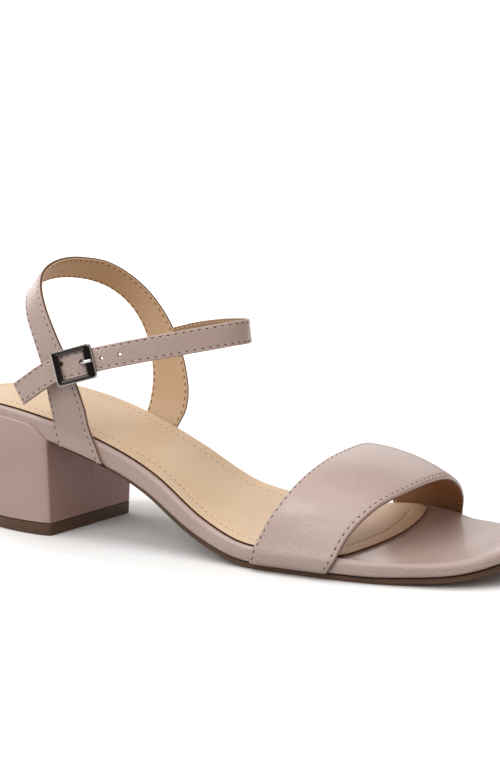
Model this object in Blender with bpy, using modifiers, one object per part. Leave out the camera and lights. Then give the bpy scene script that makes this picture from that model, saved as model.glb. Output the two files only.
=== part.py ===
"""Block heel sandal, right foot, empty and buckled, standing on its sole.

Shoe coordinates in millimetres: along runs from the heel's back to the toe, side
is positive towards the big toe's side, and height is above the floor.
"""
import math
from collections import namedtuple

import bmesh
import bpy
from mathutils import Matrix, Vector

MM = 0.001
CLEAR = 0.3
SHARP_ANGLE = math.radians(35.0)

# The sole in plan: half widths on the outer and the inner side of the foot
LENGTH = 246.0
TOE_TIP_SIDE = 2.0
Plan = namedtuple("Plan", "along outer inner")
PLAN = [
    Plan(0.0, 0.0, 0.0),
    Plan(6.0, 15.0, 15.0),
    Plan(22.0, 26.2, 26.4),
    Plan(45.0, 28.6, 28.8),
    Plan(70.0, 28.0, 26.9),
    Plan(95.0, 28.6, 24.8),
    Plan(120.0, 35.0, 27.8),
    Plan(145.0, 41.2, 34.4),
    Plan(168.0, 42.9, 40.6),
    Plan(190.0, 43.0, 43.4),
    Plan(208.0, 40.6, 41.8),
    Plan(226.0, 35.6, 36.2),
    Plan(239.0, 25.2, 24.4),
    Plan(244.8, 12.0, 15.0),
    Plan(LENGTH, -TOE_TIP_SIDE, TOE_TIP_SIDE),
]
PLAN_STEPS = 56

# The sole from the side: height of the rim's top and the rim's thickness
Profile = namedtuple("Profile", "along top rim")
PROFILE = [
    Profile(0.0, 50.4, 8.2),
    Profile(25.0, 50.6, 8.0),
    Profile(50.0, 46.6, 7.9),
    Profile(75.0, 39.3, 7.6),
    Profile(100.0, 28.4, 7.1),
    Profile(125.0, 14.6, 6.2),
    Profile(140.0, 9.6, 5.8),
    Profile(158.0, 8.4, 5.6),
    Profile(192.0, 8.4, 5.6),
    Profile(210.0, 8.9, 5.2),
    Profile(230.0, 10.9, 4.8),
    Profile(LENGTH, 16.1, 4.7),
]

# Under the vamp the footbed's inner side stands higher than its outer side
Lift = namedtuple("Lift", "along height")
INNER_LIFT = [
    Lift(95.0, 0.0),
    Lift(107.0, -0.8),
    Lift(115.0, -0.3),
    Lift(126.0, 1.7),
    Lift(142.0, 3.0),
    Lift(162.0, 3.5),
    Lift(186.0, 3.7),
    Lift(194.0, 2.5),
    Lift(200.0, 0.9),
    Lift(212.0, 0.0),
]

# Edge of the wrapped rim: how far in from the wall, how deep below its top
Step = namedtuple("Step", "inset depth")
RIM_TOP_EDGE = [
    Step(2.7, 0.45),
    Step(1.9, 0.1),
    Step(1.0, 0.2),
    Step(0.35, 0.7),
    Step(0.0, 1.7),
]
RIM_BOTTOM_ROUND = 0.9

INSOLE_THICKNESS = 0.8
INSOLE_INSET = 2.5
INSOLE_CORNER_ALONG = 180.0
INSOLE_FRONT_ALONG = 189.8
INSOLE_FRONT_BOW = 6.5
INSOLE_CORNER_CUT = 2.5
INSOLE_CORNER_FROM = 0.85
INSOLE_EDGE_ROUND = 0.3
INSOLE_FRONT_SHARES = (1.0, 0.985, 0.955, 0.91, 0.85, 0.7, 0.5, 0.27, 0.0)

OUTSOLE_THICKNESS = 2.5
OUTSOLE_INSET = 1.8
OUTSOLE_EDGE_ROUND = 0.5
OUTSOLE_BACK_GAP = 3.6

# The heel: its breast runs between two front corners and its foot is smaller
HEEL_OUTER_CORNER = 52.0
HEEL_INNER_CORNER = 58.0
HEEL_FOOT_OUTER = 27.1
HEEL_FOOT_INNER = 25.9
HEEL_FOOT_BACK = 7.6
HEEL_CORNER_ROUND = 1.8
HEEL_CORNER_FROM = 0.95
HEEL_STEPS = 15
HEEL_TAPER_HEIGHT = 38.0
HEEL_COVER = 1.0
HEEL_CUP = 4.6
HEEL_CUP_ROUND = 9.0
HEEL_CUP_FALL = 1.4
HEEL_LIP_ROUND = 0.5
LIFT_THICKNESS = 4.8
LIFT_EDGE_ROUND = 0.35

STRAP_THICKNESS = 1.6

# How a strap's end runs under the rim and up its wall, thinned where it is tucked:
# in from the wall, below the rim's underside, and the share of the thickness
Tuck = namedtuple("Tuck", "inset below thickness")
TUCK = [
    Tuck(1.45, 0.66, 0.45),
    Tuck(0.2, 0.66, 0.45),
    Tuck(-0.6, 0.2, 0.6),
    Tuck(-1.0, -0.9, 0.9),
    Tuck(-1.1, -2.2, 1.0),
]
STRAP_OFFSET = CLEAR + STRAP_THICKNESS / 2
STRAP_LEAVES_RIM = 0.9

# The places along the sole of a strap's two edges, at the rim's top and below it
Foot = namedtuple("Foot", "front_top back_top front_under back_under")

# The vamp: a row for each line across it, from its front to its back edge
Band = namedtuple(
    "Band", "front_along front_side front_height back_along back_side back_height"
)
VAMP_OUTER_FOOT = Foot(183.0, 149.4, 181.2, 148.4)
VAMP_INNER_FOOT = Foot(195.8, 168.0, 195.2, 168.4)
VAMP = [
    Band(187.3, -39.4, 17.5, 153.6, -36.8, 20.2),
    Band(193.4, -29.2, 26.3, 158.6, -25.7, 30.6),
    Band(198.6, -14.8, 30.4, 162.0, -11.4, 36.3),
    Band(201.2, 1.2, 31.6, 164.4, 4.6, 38.7),
    Band(201.9, 16.6, 29.4, 166.4, 20.3, 38.6),
    Band(200.7, 29.3, 24.4, 167.4, 32.6, 33.6),
    Band(198.4, 39.5, 17.2, 167.8, 40.0, 24.0),
]

# The heel strap: up the outer side, round behind the ankle and down again
HEEL_STRAP_OUTER_FOOT = Foot(77.6, 59.4, 79.8, 60.4)
HEEL_STRAP_INNER_FOOT = Foot(82.4, 66.2, 83.4, 67.0)
HEEL_STRAP = [
    Band(72.2, -32.2, 52.0, 56.9, -31.8, 54.2),
    Band(66.3, -34.2, 68.5, 53.5, -33.2, 68.0),
    Band(60.0, -34.4, 81.4, 49.4, -32.6, 78.5),
    Band(54.4, -32.4, 91.1, 45.3, -30.3, 86.2),
    Band(49.9, -28.0, 98.0, 42.0, -25.8, 91.7),
    Band(47.0, -21.3, 102.8, 39.9, -19.4, 95.4),
    Band(46.0, -12.3, 105.5, 39.4, -10.9, 97.6),
    Band(47.0, -2.0, 106.4, 40.3, -1.2, 98.3),
    Band(49.6, 8.7, 105.2, 42.5, 9.0, 97.4),
    Band(53.5, 18.5, 102.5, 45.7, 18.5, 95.1),
    Band(58.4, 26.5, 97.0, 49.6, 26.4, 91.2),
    Band(64.0, 32.3, 89.5, 54.0, 32.1, 85.3),
    Band(70.3, 35.5, 79.2, 58.4, 35.4, 77.1),
    Band(76.0, 36.0, 66.8, 62.1, 35.9, 66.8),
    Band(80.1, 33.3, 52.5, 64.5, 33.4, 55.0),
]

# The buckle: where the ankle strap's middle passes through it, and how it turns
BUCKLE_PLACE = Vector((70.5, -37.0, 70.6))
BUCKLE_YAW = math.radians(12.0)
BUCKLE_RISE = math.radians(16.5)
BUCKLE_LEAN = 8.0
BUCKLE_LENGTH = 16.4
BUCKLE_WIDTH = 13.5
BUCKLE_BACK_BAR = 2.5
BUCKLE_FRONT_BAR = 3.6
BUCKLE_RAIL = 1.9
BUCKLE_THICKNESS = 1.6
BUCKLE_ROUND = 1.3
BUCKLE_STRAIGHT = 9.0
CENTRE_BAR_RADIUS = 0.7
CENTRE_BAR_DEPTH = 3.6
STAPLE_ROUND = 1.2
WINDOW_ROUND = 0.4

PRONG_RADIUS = 0.7
PRONG_REACH = 7.4
PRONG_HOLE_CENTRE = 2.8
PRONG_HOLE_LENGTH = 4.2
PRONG_HOLE_WIDTH = 2.2
PRONG_HOOK_TURN = 270.0
PRONG_HOOK_END = 65.0

# The prong from the hole to its tip: along from the hole's centre or the window's
# end, and out from the strap's middle or below where it rests on the frame
PRONG_IN_HOLE = ((-0.4, -0.6), (0.3, 0.9))
PRONG_OVER_BAR = ((-0.7, -0.3), (0.6, 0.2))

# The leather tab: a loop round the centre bar and a tongue back to the heel strap
TAB_THICKNESS = 0.8
TAB_WIDTH = 7.0
TAB_TONGUE = 11.0
TAB_TONGUE_DROP = 2.2
TAB_NECK = 0.5
TAB_SLOT = 2.4
TAB_SLOT_LENGTH = 6.4

# The ankle strap: its middle line, and how far its top edge leans inwards
ANKLE_STRAP_WIDTH = 9.3
Line = namedtuple("Line", "along side height lean")
ANKLE_TAIL = [
    Line(46.7, -40.0, 58.1, 6.0),
    Line(52.2, -40.0, 61.9, 7.0),
    Line(57.2, -39.6, 65.4, 8.0),
]
ANKLE_FRONT = [
    Line(89.4, -30.4, 75.7, 9.0),
    Line(98.9, -25.0, 77.7, 9.0),
    Line(106.8, -20.2, 79.3, 8.0),
    Line(113.4, -16.1, 80.6, 7.0),
    Line(118.6, -12.2, 81.6, 6.0),
    Line(122.0, -8.4, 82.2, 6.0),
    Line(124.0, -4.7, 82.4, 6.0),
    Line(124.7, -1.0, 82.3, 6.0),
    Line(123.8, 2.9, 82.0, 6.0),
    Line(121.6, 6.9, 81.6, 6.0),
    Line(117.8, 10.9, 80.9, 6.0),
    Line(112.4, 15.2, 80.0, 6.0),
    Line(105.4, 20.0, 78.8, 6.0),
    Line(96.6, 25.3, 77.0, 5.0),
    Line(86.0, 31.0, 74.5, 3.0),
    Line(76.0, 35.4, 71.6, 2.0),
    Line(69.0, 37.2, 69.6, 0.0),
    Line(62.6, 37.2, 67.8, 0.0),
]

Finish = namedtuple("Finish", "red green blue roughness metallic")
MAUVE_LEATHER = Finish(0.46, 0.33, 0.30, 0.45, 0.0)
TAN_LINING = Finish(0.66, 0.47, 0.31, 0.6, 0.0)
BROWN_SOLE = Finish(0.15, 0.075, 0.04, 0.55, 0.0)
DARK_METAL = Finish(0.09, 0.09, 0.09, 0.25, 1.0)


def smooth_rule(places, values):
    """A smooth curve through the rows, which stays level between level rows."""
    count = len(places)
    slopes = [
        (values[i + 1] - values[i]) / (places[i + 1] - places[i])
        for i in range(count - 1)
    ]
    tangents = [slopes[0]]
    for i in range(1, count - 1):
        before = places[i] - places[i - 1]
        after = places[i + 1] - places[i]
        level = slopes[i - 1] == 0.0 or slopes[i] == 0.0
        mean = (slopes[i - 1] * after + slopes[i] * before) / (before + after)
        tangents.append(0.0 if level else mean)
    tangents.append(slopes[-1])

    def value(place):
        place = min(max(place, places[0]), places[-1])
        i = 0
        while i < count - 2 and place > places[i + 1]:
            i += 1
        width = places[i + 1] - places[i]
        t = (place - places[i]) / width
        return (
            (2 * t ** 3 - 3 * t ** 2 + 1) * values[i]
            + (t ** 3 - 2 * t ** 2 + t) * width * tangents[i]
            + (3 * t ** 2 - 2 * t ** 3) * values[i + 1]
            + (t ** 3 - t ** 2) * width * tangents[i + 1]
        )

    return value


def turn_at(along):
    """The angle round the outline, from 0 at the heel's back to pi at the toe."""
    return math.acos(1.0 - 2.0 * along / LENGTH)


PLAN_TURNS = [turn_at(row.along) for row in PLAN]
OUTER_HALF = smooth_rule(PLAN_TURNS, [row.outer for row in PLAN])
INNER_HALF = smooth_rule(PLAN_TURNS, [row.inner for row in PLAN])
TOP_HEIGHT = smooth_rule([row.along for row in PROFILE], [row.top for row in PROFILE])
RIM_THICKNESS = smooth_rule([row.along for row in PROFILE], [row.rim for row in PROFILE])
LIFT_HEIGHT = smooth_rule([row.along for row in INNER_LIFT], [row.height for row in INNER_LIFT])
PLAN_STATIONS = [math.pi * i / PLAN_STEPS for i in range(PLAN_STEPS + 1)]
OUTER, INNER = -1, 1


def edge_point(side, turn, outset=0.0):
    """A point of the sole's outline in plan, moved out from its wall."""

    def place(angle):
        half = OUTER_HALF(angle) if side == OUTER else INNER_HALF(angle)
        return Vector((LENGTH / 2 * (1.0 - math.cos(angle)), side * half))

    nudge = 0.01
    low, high = max(turn - nudge, 0.0), min(turn + nudge, math.pi)
    tangent = (place(high) - place(low)).normalized()
    if turn < nudge:
        tangent = Vector((0.0, side))
    if turn > math.pi - nudge:
        tangent = Vector((0.0, -side))
    outward = Vector((-side * tangent.y, side * tangent.x))
    return place(turn) + outward * outset


def lowered(point, depth):
    """A plan point on the top line's surface, moved down along its normal."""
    along = min(max(point.x, 0.0), LENGTH)
    nudge = 0.5
    slope = (TOP_HEIGHT(along + nudge) - TOP_HEIGHT(along - nudge)) / (2 * nudge)
    length = math.hypot(slope, 1.0)
    return Vector((
        point.x + depth * slope / length,
        point.y,
        TOP_HEIGHT(along) - depth / length,
    ))


def lifted(point, depth):
    """The same below the footbed's top, which rises evenly towards the inner side."""
    turn = turn_at(min(max(point.x, 0.0), LENGTH))
    outer = OUTER_HALF(turn)
    share = (point.y + outer) / max(outer + INNER_HALF(turn), CLEAR)
    rise = LIFT_HEIGHT(point.x) * min(max(share, 0.0), 1.0)
    return lowered(point, depth) + Vector((0.0, 0.0, rise))


def height_below_rim(along, gap):
    """Height of the rim's underside, less a gap, straight above a plan place."""
    place = along
    for _ in range(6):
        depth = RIM_THICKNESS(place) + gap
        found = lowered(Vector((place, 0.0)), depth)
        place += along - found.x
    return found.z


def make_material(name, finish):
    material = bpy.data.materials.new(name)
    material.use_nodes = True
    shader = material.node_tree.nodes["Principled BSDF"]
    colour = (finish.red, finish.green, finish.blue, 1.0)
    shader.inputs["Base Color"].default_value = colour
    shader.inputs["Roughness"].default_value = finish.roughness
    shader.inputs["Metallic"].default_value = finish.metallic
    material.diffuse_color = colour
    return material


def add_object(name, data, finish, collection):
    data.materials.clear()
    data.materials.append(make_material(name, finish))
    data.shade_smooth()
    data.set_sharp_from_angle(angle=SHARP_ANGLE)
    thing = bpy.data.objects.new(name, data)
    collection.objects.link(thing)
    return thing


def make_mesh(name, points, faces, closed):
    """A mesh from points in millimetres, with its doubled points merged."""
    mesh = bpy.data.meshes.new(name)
    mesh.from_pydata([point * MM for point in points], [], faces)
    shape = bmesh.new()
    shape.from_mesh(mesh)
    bmesh.ops.remove_doubles(shape, verts=shape.verts, dist=0.005 * MM)
    if closed:
        bmesh.ops.recalc_face_normals(shape, faces=shape.faces)
    shape.to_mesh(mesh)
    shape.free()
    return mesh


def loft(name, rings, finish, collection):
    """A closed solid through rings, each a pair of lists from heel to toe."""
    points, faces = [], []
    count = len(rings[0][0])
    for outer, inner in rings:
        points += list(outer) + list(reversed(inner))
    size = 2 * count
    for level in range(len(rings) - 1):
        start = level * size
        for i in range(size):
            after = (i + 1) % size
            faces.append((start + i, start + after, start + size + after, start + size + i))
    for start in (0, (len(rings) - 1) * size):
        for i in range(count - 1):
            opposite = size - 1 - i
            faces.append((start + i, start + i + 1, start + opposite - 1, start + opposite))
    return add_object(name, make_mesh(name, points, faces, True), finish, collection)


def make_footbed(collection):
    """The wrapped platform: its rim is rounded at the top and eased below."""

    def ring(inset, placed):
        lists = []
        for side in (OUTER, INNER):
            plan = [edge_point(side, turn, -inset) for turn in PLAN_STATIONS]
            lists.append([placed(point) for point in plan])
        return lists

    def near_bottom(above):
        return lambda point: lowered(point, RIM_THICKNESS(point.x) - above)

    def below_top(depth):
        return lambda point: lifted(point, depth)

    rings = [ring(step.inset, below_top(step.depth)) for step in RIM_TOP_EDGE]
    rings.append(ring(0.0, near_bottom(RIM_BOTTOM_ROUND)))
    rings.append(ring(RIM_BOTTOM_ROUND, near_bottom(0.0)))
    return loft("footbed", rings, MAUVE_LEATHER, collection)


def make_insole(collection):
    """The sock: it covers the footbed up to a bowed edge under the vamp."""
    corner_turn = turn_at(INSOLE_CORNER_ALONG)
    turns = [turn for turn in PLAN_STATIONS if turn < corner_turn]

    def ring(inset, depth):
        lists = []
        for side in (OUTER, INNER):
            plan = [edge_point(side, turn, -INSOLE_INSET - inset) for turn in turns]
            half = edge_point(side, corner_turn, -INSOLE_INSET - inset).y
            for share in INSOLE_FRONT_SHARES:
                rounding = max(share - INSOLE_CORNER_FROM, 0.0) / (1.0 - INSOLE_CORNER_FROM)
                along = (
                    INSOLE_FRONT_ALONG - inset
                    - INSOLE_FRONT_BOW * share ** 2
                    - INSOLE_CORNER_CUT * rounding ** 2
                )
                plan.append(Vector((along, half * share)))
            lists.append([lifted(point, depth) for point in plan])
        return lists

    bottom = RIM_TOP_EDGE[0].depth - CLEAR
    top = bottom - INSOLE_THICKNESS
    rings = [
        ring(0.0, bottom),
        ring(0.0, top + INSOLE_EDGE_ROUND),
        ring(INSOLE_EDGE_ROUND, top),
    ]
    return loft("insole", rings, TAN_LINING, collection)


def make_outsole(collection):
    """The brown sole: from the heel's breast to the toe, inset from the rim."""
    steps = 46

    def ring(inset, extra_depth):
        lists = []
        for side, corner in ((OUTER, HEEL_OUTER_CORNER), (INNER, HEEL_INNER_CORNER)):
            first = turn_at(corner + OUTSOLE_BACK_GAP)
            turns = [first + (math.pi - first) * i / steps for i in range(steps + 1)]
            plan = [edge_point(side, turn, -inset) for turn in turns]
            lists.append([
                lowered(point, RIM_THICKNESS(point.x) + CLEAR + extra_depth)
                for point in plan
            ])
        return lists

    rings = [
        ring(OUTSOLE_INSET, 0.0),
        ring(OUTSOLE_INSET, OUTSOLE_THICKNESS - OUTSOLE_EDGE_ROUND),
        ring(OUTSOLE_INSET + OUTSOLE_EDGE_ROUND, OUTSOLE_THICKNESS),
    ]
    return loft("outsole", rings, BROWN_SOLE, collection)


def heel_side(side, height, outset):
    """One half of the heel's outline at a height, from its back to its breast."""
    corner = HEEL_OUTER_CORNER if side == OUTER else HEEL_INNER_CORNER
    foot_half = HEEL_FOOT_OUTER if side == OUTER else HEEL_FOOT_INNER
    middle = (HEEL_OUTER_CORNER + HEEL_INNER_CORNER) / 2
    rise = min(height / HEEL_TAPER_HEIGHT, 1.0)

    def wall(share):
        angle = share * math.pi / 2
        depth = corner - HEEL_FOOT_BACK
        foot = Vector((corner - depth * math.cos(angle), side * foot_half * math.sin(angle)))
        top = edge_point(side, turn_at(corner) * share, CLEAR + HEEL_COVER)
        return foot.lerp(top, rise)

    nudge = 0.01
    plan = []
    for i in range(HEEL_STEPS + 1):
        share = HEEL_CORNER_FROM * i / HEEL_STEPS
        ahead, behind = wall(share + nudge), wall(max(share - nudge, 0.0))
        tangent = (ahead - behind).normalized()
        if i == 0:
            tangent = Vector((0.0, side))
        outward = Vector((-side * tangent.y, side * tangent.x))
        plan.append(wall(share) + outward * outset)
    tip = wall(1.0) + Vector((0.0, side * outset))
    breast = Vector((middle - corner, -tip.y)).normalized()
    start, end = plan[-1], tip + breast * HEEL_CORNER_ROUND
    for share in (0.3, 0.6):
        plan.append(start.lerp(tip, share).lerp(tip.lerp(end, share), share))
    plan.append(end)
    return plan


def cup_shares(plan):
    """How much of the cup's height is left at each point towards the corner."""
    end = plan[HEEL_STEPS].x
    shares = []
    for i, point in enumerate(plan):
        near = max((point.x - end + HEEL_CUP_ROUND) / HEEL_CUP_ROUND, 0.0)
        shares.append(1.0 - near ** HEEL_CUP_FALL if i < HEEL_STEPS else 0.0)
    return shares


def make_heel_block(collection):
    """The covered block: it tapers to the floor and cups the rim's outside."""

    def level_ring(height):
        lists = []
        for side in (OUTER, INNER):
            plan = heel_side(side, height, 0.0)
            lists.append([Vector((point.x, point.y, height)) for point in plan])
        return lists

    def rim_ring(inset, cup, shift):
        lists = []
        for side in (OUTER, INNER):
            plan = heel_side(side, HEEL_TAPER_HEIGHT, -inset)
            lists.append([
                Vector((point.x, point.y, height_below_rim(point.x, CLEAR) + cup * share + shift))
                for point, share in zip(plan, cup_shares(plan))
            ])
        return lists

    bottom = LIFT_THICKNESS + CLEAR
    cup = HEEL_CUP + CLEAR
    rings = [
        level_ring(bottom),
        level_ring((bottom + HEEL_TAPER_HEIGHT) / 2),
        rim_ring(0.0, 0.0, -3 * HEEL_LIP_ROUND),
        rim_ring(0.0, cup, -HEEL_LIP_ROUND),
        rim_ring(HEEL_LIP_ROUND, cup, 0.0),
        rim_ring(HEEL_COVER, cup, 0.0),
        rim_ring(HEEL_COVER, 0.0, 0.0),
    ]
    return loft("heel_block", rings, MAUVE_LEATHER, collection)


def make_top_lift(collection):
    """The brown walking piece under the heel, flat on the floor."""
    rings = []
    for height, inset in ((0.0, LIFT_EDGE_ROUND), (LIFT_EDGE_ROUND, 0.0), (LIFT_THICKNESS, 0.0)):
        rings.append([
            [Vector((point.x, point.y, height)) for point in heel_side(side, height, -inset)]
            for side in (OUTER, INNER)
        ])
    return loft("top_lift", rings, BROWN_SOLE, collection)


def curve_between(points, steps):
    """Points read from a smooth curve through the given ones."""
    ends = [2 * points[0] - points[1]] + points + [2 * points[-1] - points[-2]]
    found = []
    for i in range(1, len(ends) - 2):
        a, b, c, d = ends[i - 1:i + 3]
        knots = [0.0]
        for first, second in ((a, b), (b, c), (c, d)):
            knots.append(knots[-1] + max((second - first).length, 0.001) ** 0.5)
        for step in range(steps):
            t = knots[1] + (knots[2] - knots[1]) * step / steps

            def mix(p, q, low, high):
                return p * ((high - t) / (high - low)) + q * ((t - low) / (high - low))

            ab = mix(a, b, knots[0], knots[1])
            bc = mix(b, c, knots[1], knots[2])
            cd = mix(c, d, knots[2], knots[3])
            abc = mix(ab, bc, knots[0], knots[2])
            bcd = mix(bc, cd, knots[1], knots[3])
            found.append(mix(abc, bcd, knots[1], knots[2]))
    found.append(points[-1])
    return found


def foot_lines(side, foot, across):
    """Where a strap ends: tucked under the rim, round its edge and up its wall."""

    def places(front, back, outset):
        return [
            edge_point(side, turn_at(front + (back - front) * i / across), outset)
            for i in range(across + 1)
        ]

    lines = []
    for tuck in TUCK:
        under = places(foot.front_under, foot.back_under, -tuck.inset)
        lines.append([
            lowered(point, RIM_THICKNESS(point.x) + tuck.below) for point in under
        ])
    top = places(foot.front_top, foot.back_top, STRAP_OFFSET)
    lines.append([lifted(point, STRAP_LEAVES_RIM) for point in top])
    return lines


def band_lines(rows, across):
    """Each row's line across the strap, as evenly spaced points."""
    lines = []
    for row in rows:
        front = Vector((row.front_along, row.front_side, row.front_height))
        back = Vector((row.back_along, row.back_side, row.back_height))
        lines.append([front.lerp(back, i / across) for i in range(across + 1)])
    return lines


def smooth_lines(lines, steps):
    """More lines between the given ones, along smooth curves."""
    columns = [curve_between(list(column), steps) for column in zip(*lines)]
    return [list(line) for line in zip(*columns)]


def make_sheet(name, lines, shares, finish, collection):
    """A strap: an open sheet through its lines, thickened by Solidify."""
    width = len(lines[0])
    points = [point for line in lines for point in line]
    faces = []
    for row in range(len(lines) - 1):
        for column in range(width - 1):
            start = row * width + column
            faces.append((start, start + 1, start + width + 1, start + width))
    mesh = make_mesh(name, points, faces, False)
    strap = add_object(name, mesh, finish, collection)
    fullness = strap.vertex_groups.new(name="fullness")
    for row, share in enumerate(shares):
        fullness.add(range(row * width, (row + 1) * width), share, "REPLACE")
    wall = strap.modifiers.new("leather", "SOLIDIFY")
    wall.thickness = STRAP_THICKNESS * MM
    wall.offset = 0.0
    wall.vertex_group = fullness.name
    wall.thickness_vertex_group = 0.0
    return strap


def strap_over(name, rows, feet, across, steps, finish, collection):
    """A strap from a foot on the outer side, over its rows, to the inner side."""
    outer_foot, inner_foot = feet
    start = foot_lines(OUTER, outer_foot, across)
    end = list(reversed(foot_lines(INNER, inner_foot, across)))
    middle = smooth_lines([start[-1]] + band_lines(rows, across) + [end[0]], steps)
    lines = start[:-1] + middle + end[1:]
    ends = [tuck.thickness for tuck in TUCK]
    shares = ends + [1.0] * len(middle) + ends[::-1]
    return make_sheet(name, lines, shares, finish, collection)


def buckle_axes():
    """The buckle's own directions: along the strap, across it, and outwards."""
    level = Vector((math.cos(BUCKLE_YAW), math.sin(BUCKLE_YAW), 0.0))
    along = level * math.cos(BUCKLE_RISE) + Vector((0.0, 0.0, math.sin(BUCKLE_RISE)))
    upright = Vector((0.0, 0.0, math.cos(BUCKLE_RISE))) - level * math.sin(BUCKLE_RISE)
    inward = Vector((-math.sin(BUCKLE_YAW), math.cos(BUCKLE_YAW), 0.0))
    lean = math.radians(BUCKLE_LEAN)
    across = upright * math.cos(lean) + inward * math.sin(lean)
    return along, across, along.cross(across)


def buckle_matrix():
    along, across, outward = buckle_axes()
    turn = Matrix((along, across, outward)).transposed().to_4x4()
    return Matrix.Translation(BUCKLE_PLACE * MM) @ turn


def ankle_lines():
    """The ankle strap's lines across, from its free tail to its sewn end."""
    through_buckle = buckle_axes()[0]
    straight = []
    for shift in (-BUCKLE_STRAIGHT, BUCKLE_STRAIGHT):
        place = BUCKLE_PLACE + through_buckle * shift
        straight.append(Line(place.x, place.y, place.z, BUCKLE_LEAN))
    rows = ANKLE_TAIL + straight + ANKLE_FRONT
    middles = [Vector((row.along, row.side, row.height)) for row in rows]
    lines = []
    for i, row in enumerate(rows):
        before, after = middles[max(i - 1, 0)], middles[min(i + 1, len(rows) - 1)]
        tangent = (after - before).normalized()
        if row in straight:
            tangent = through_buckle
        inward = Vector((-tangent.y, tangent.x, 0.0)).normalized()
        upright = inward.cross(-tangent).normalized()
        lean = math.radians(row.lean)
        across = upright * math.cos(lean) + inward * math.sin(lean)
        half = across * ANKLE_STRAP_WIDTH / 2
        lines.append([middles[i] + half * share for share in (1.0, 0.0, -1.0)])
    return lines


def add_boolean(thing, other, operation):
    cut = thing.modifiers.new(other.name, "BOOLEAN")
    cut.object = other
    cut.operation = operation
    cut.solver = "EXACT"


def make_cutter(name, mesh, collection):
    """A helper solid that shapes another piece and isn't part of the shoe."""
    cutter = bpy.data.objects.new(name, mesh)
    collection.objects.link(cutter)
    cutter.hide_render = True
    cutter.display_type = "WIRE"
    return cutter


def box_mesh(name, size):
    mesh = bpy.data.meshes.new(name)
    shape = bmesh.new()
    bmesh.ops.create_cube(shape, size=1.0)
    bmesh.ops.scale(shape, vec=[value * MM for value in size], verts=shape.verts)
    shape.to_mesh(mesh)
    shape.free()
    return mesh


def make_heel_and_ankle_strap(collection, cutters):
    """The heel strap with the ankle strap sewn on where they cross."""
    feet = (HEEL_STRAP_OUTER_FOOT, HEEL_STRAP_INNER_FOOT)
    strap = strap_over(
        "heel_and_ankle_strap", HEEL_STRAP, feet, 3, 2, MAUVE_LEATHER, collection
    )
    lines = ankle_lines()
    ankle = make_sheet("ankle_strap", lines, [1.0] * len(lines), MAUVE_LEATHER, cutters)
    ankle.hide_render = True
    ankle.display_type = "WIRE"
    hole_size = (PRONG_HOLE_LENGTH, PRONG_HOLE_WIDTH, 3 * STRAP_THICKNESS)
    hole = make_cutter("prong_hole", box_mesh("prong_hole", hole_size), cutters)
    hole.matrix_world = buckle_matrix() @ Matrix.Translation((PRONG_HOLE_CENTRE * MM, 0.0, 0.0))
    add_boolean(strap, ankle, "UNION")
    add_boolean(strap, hole, "DIFFERENCE")
    return strap


def rounded_outline(left, right, half, radius):
    """A rectangle's corner points with each corner turned in a short arc."""
    corners = (
        (right - radius, half - radius, 0.0),
        (left + radius, half - radius, 90.0),
        (left + radius, -half + radius, 180.0),
        (right - radius, -half + radius, 270.0),
    )
    points = []
    for x, y, first in corners:
        for step in range(4):
            angle = math.radians(first + 30.0 * step)
            points.append(Vector((x + radius * math.cos(angle), y + radius * math.sin(angle), 0)))
    return points


def poly_curve(name, loops, closed):
    curve = bpy.data.curves.new(name, "CURVE")
    for loop in loops:
        spline = curve.splines.new("POLY")
        spline.points.add(len(loop) - 1)
        for point, place in zip(spline.points, loop):
            point.co = (place.x * MM, place.y * MM, place.z * MM, 1.0)
        spline.use_cyclic_u = closed
    return curve


def mesh_from_curve(name, curve):
    """A curve's shape as a closed mesh, its caps welded to its walls."""
    holder = bpy.data.objects.new(name, curve)
    bpy.context.scene.collection.objects.link(holder)
    bpy.context.view_layer.update()
    evaluated = holder.evaluated_get(bpy.context.evaluated_depsgraph_get())
    mesh = bpy.data.meshes.new_from_object(evaluated)
    bpy.data.objects.remove(holder)
    shape = bmesh.new()
    shape.from_mesh(mesh)
    bmesh.ops.remove_doubles(shape, verts=shape.verts, dist=0.001 * MM)
    bmesh.ops.recalc_face_normals(shape, faces=shape.faces)
    shape.to_mesh(mesh)
    shape.free()
    mesh.name = name
    return mesh


def flat_mesh(name, loops, thickness):
    """A flat outline with its holes, given a thickness about its plane."""
    curve = poly_curve(name, loops, True)
    curve.dimensions = "2D"
    curve.fill_mode = "BOTH"
    curve.extrude = thickness / 2 * MM
    return mesh_from_curve(name, curve)


def wire_mesh(name, path, radius):
    """A round wire along a path, with filled ends."""
    curve = poly_curve(name, [path], False)
    curve.dimensions = "3D"
    curve.bevel_depth = radius * MM
    curve.bevel_resolution = 1
    curve.use_fill_caps = True
    return mesh_from_curve(name, curve)


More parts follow.
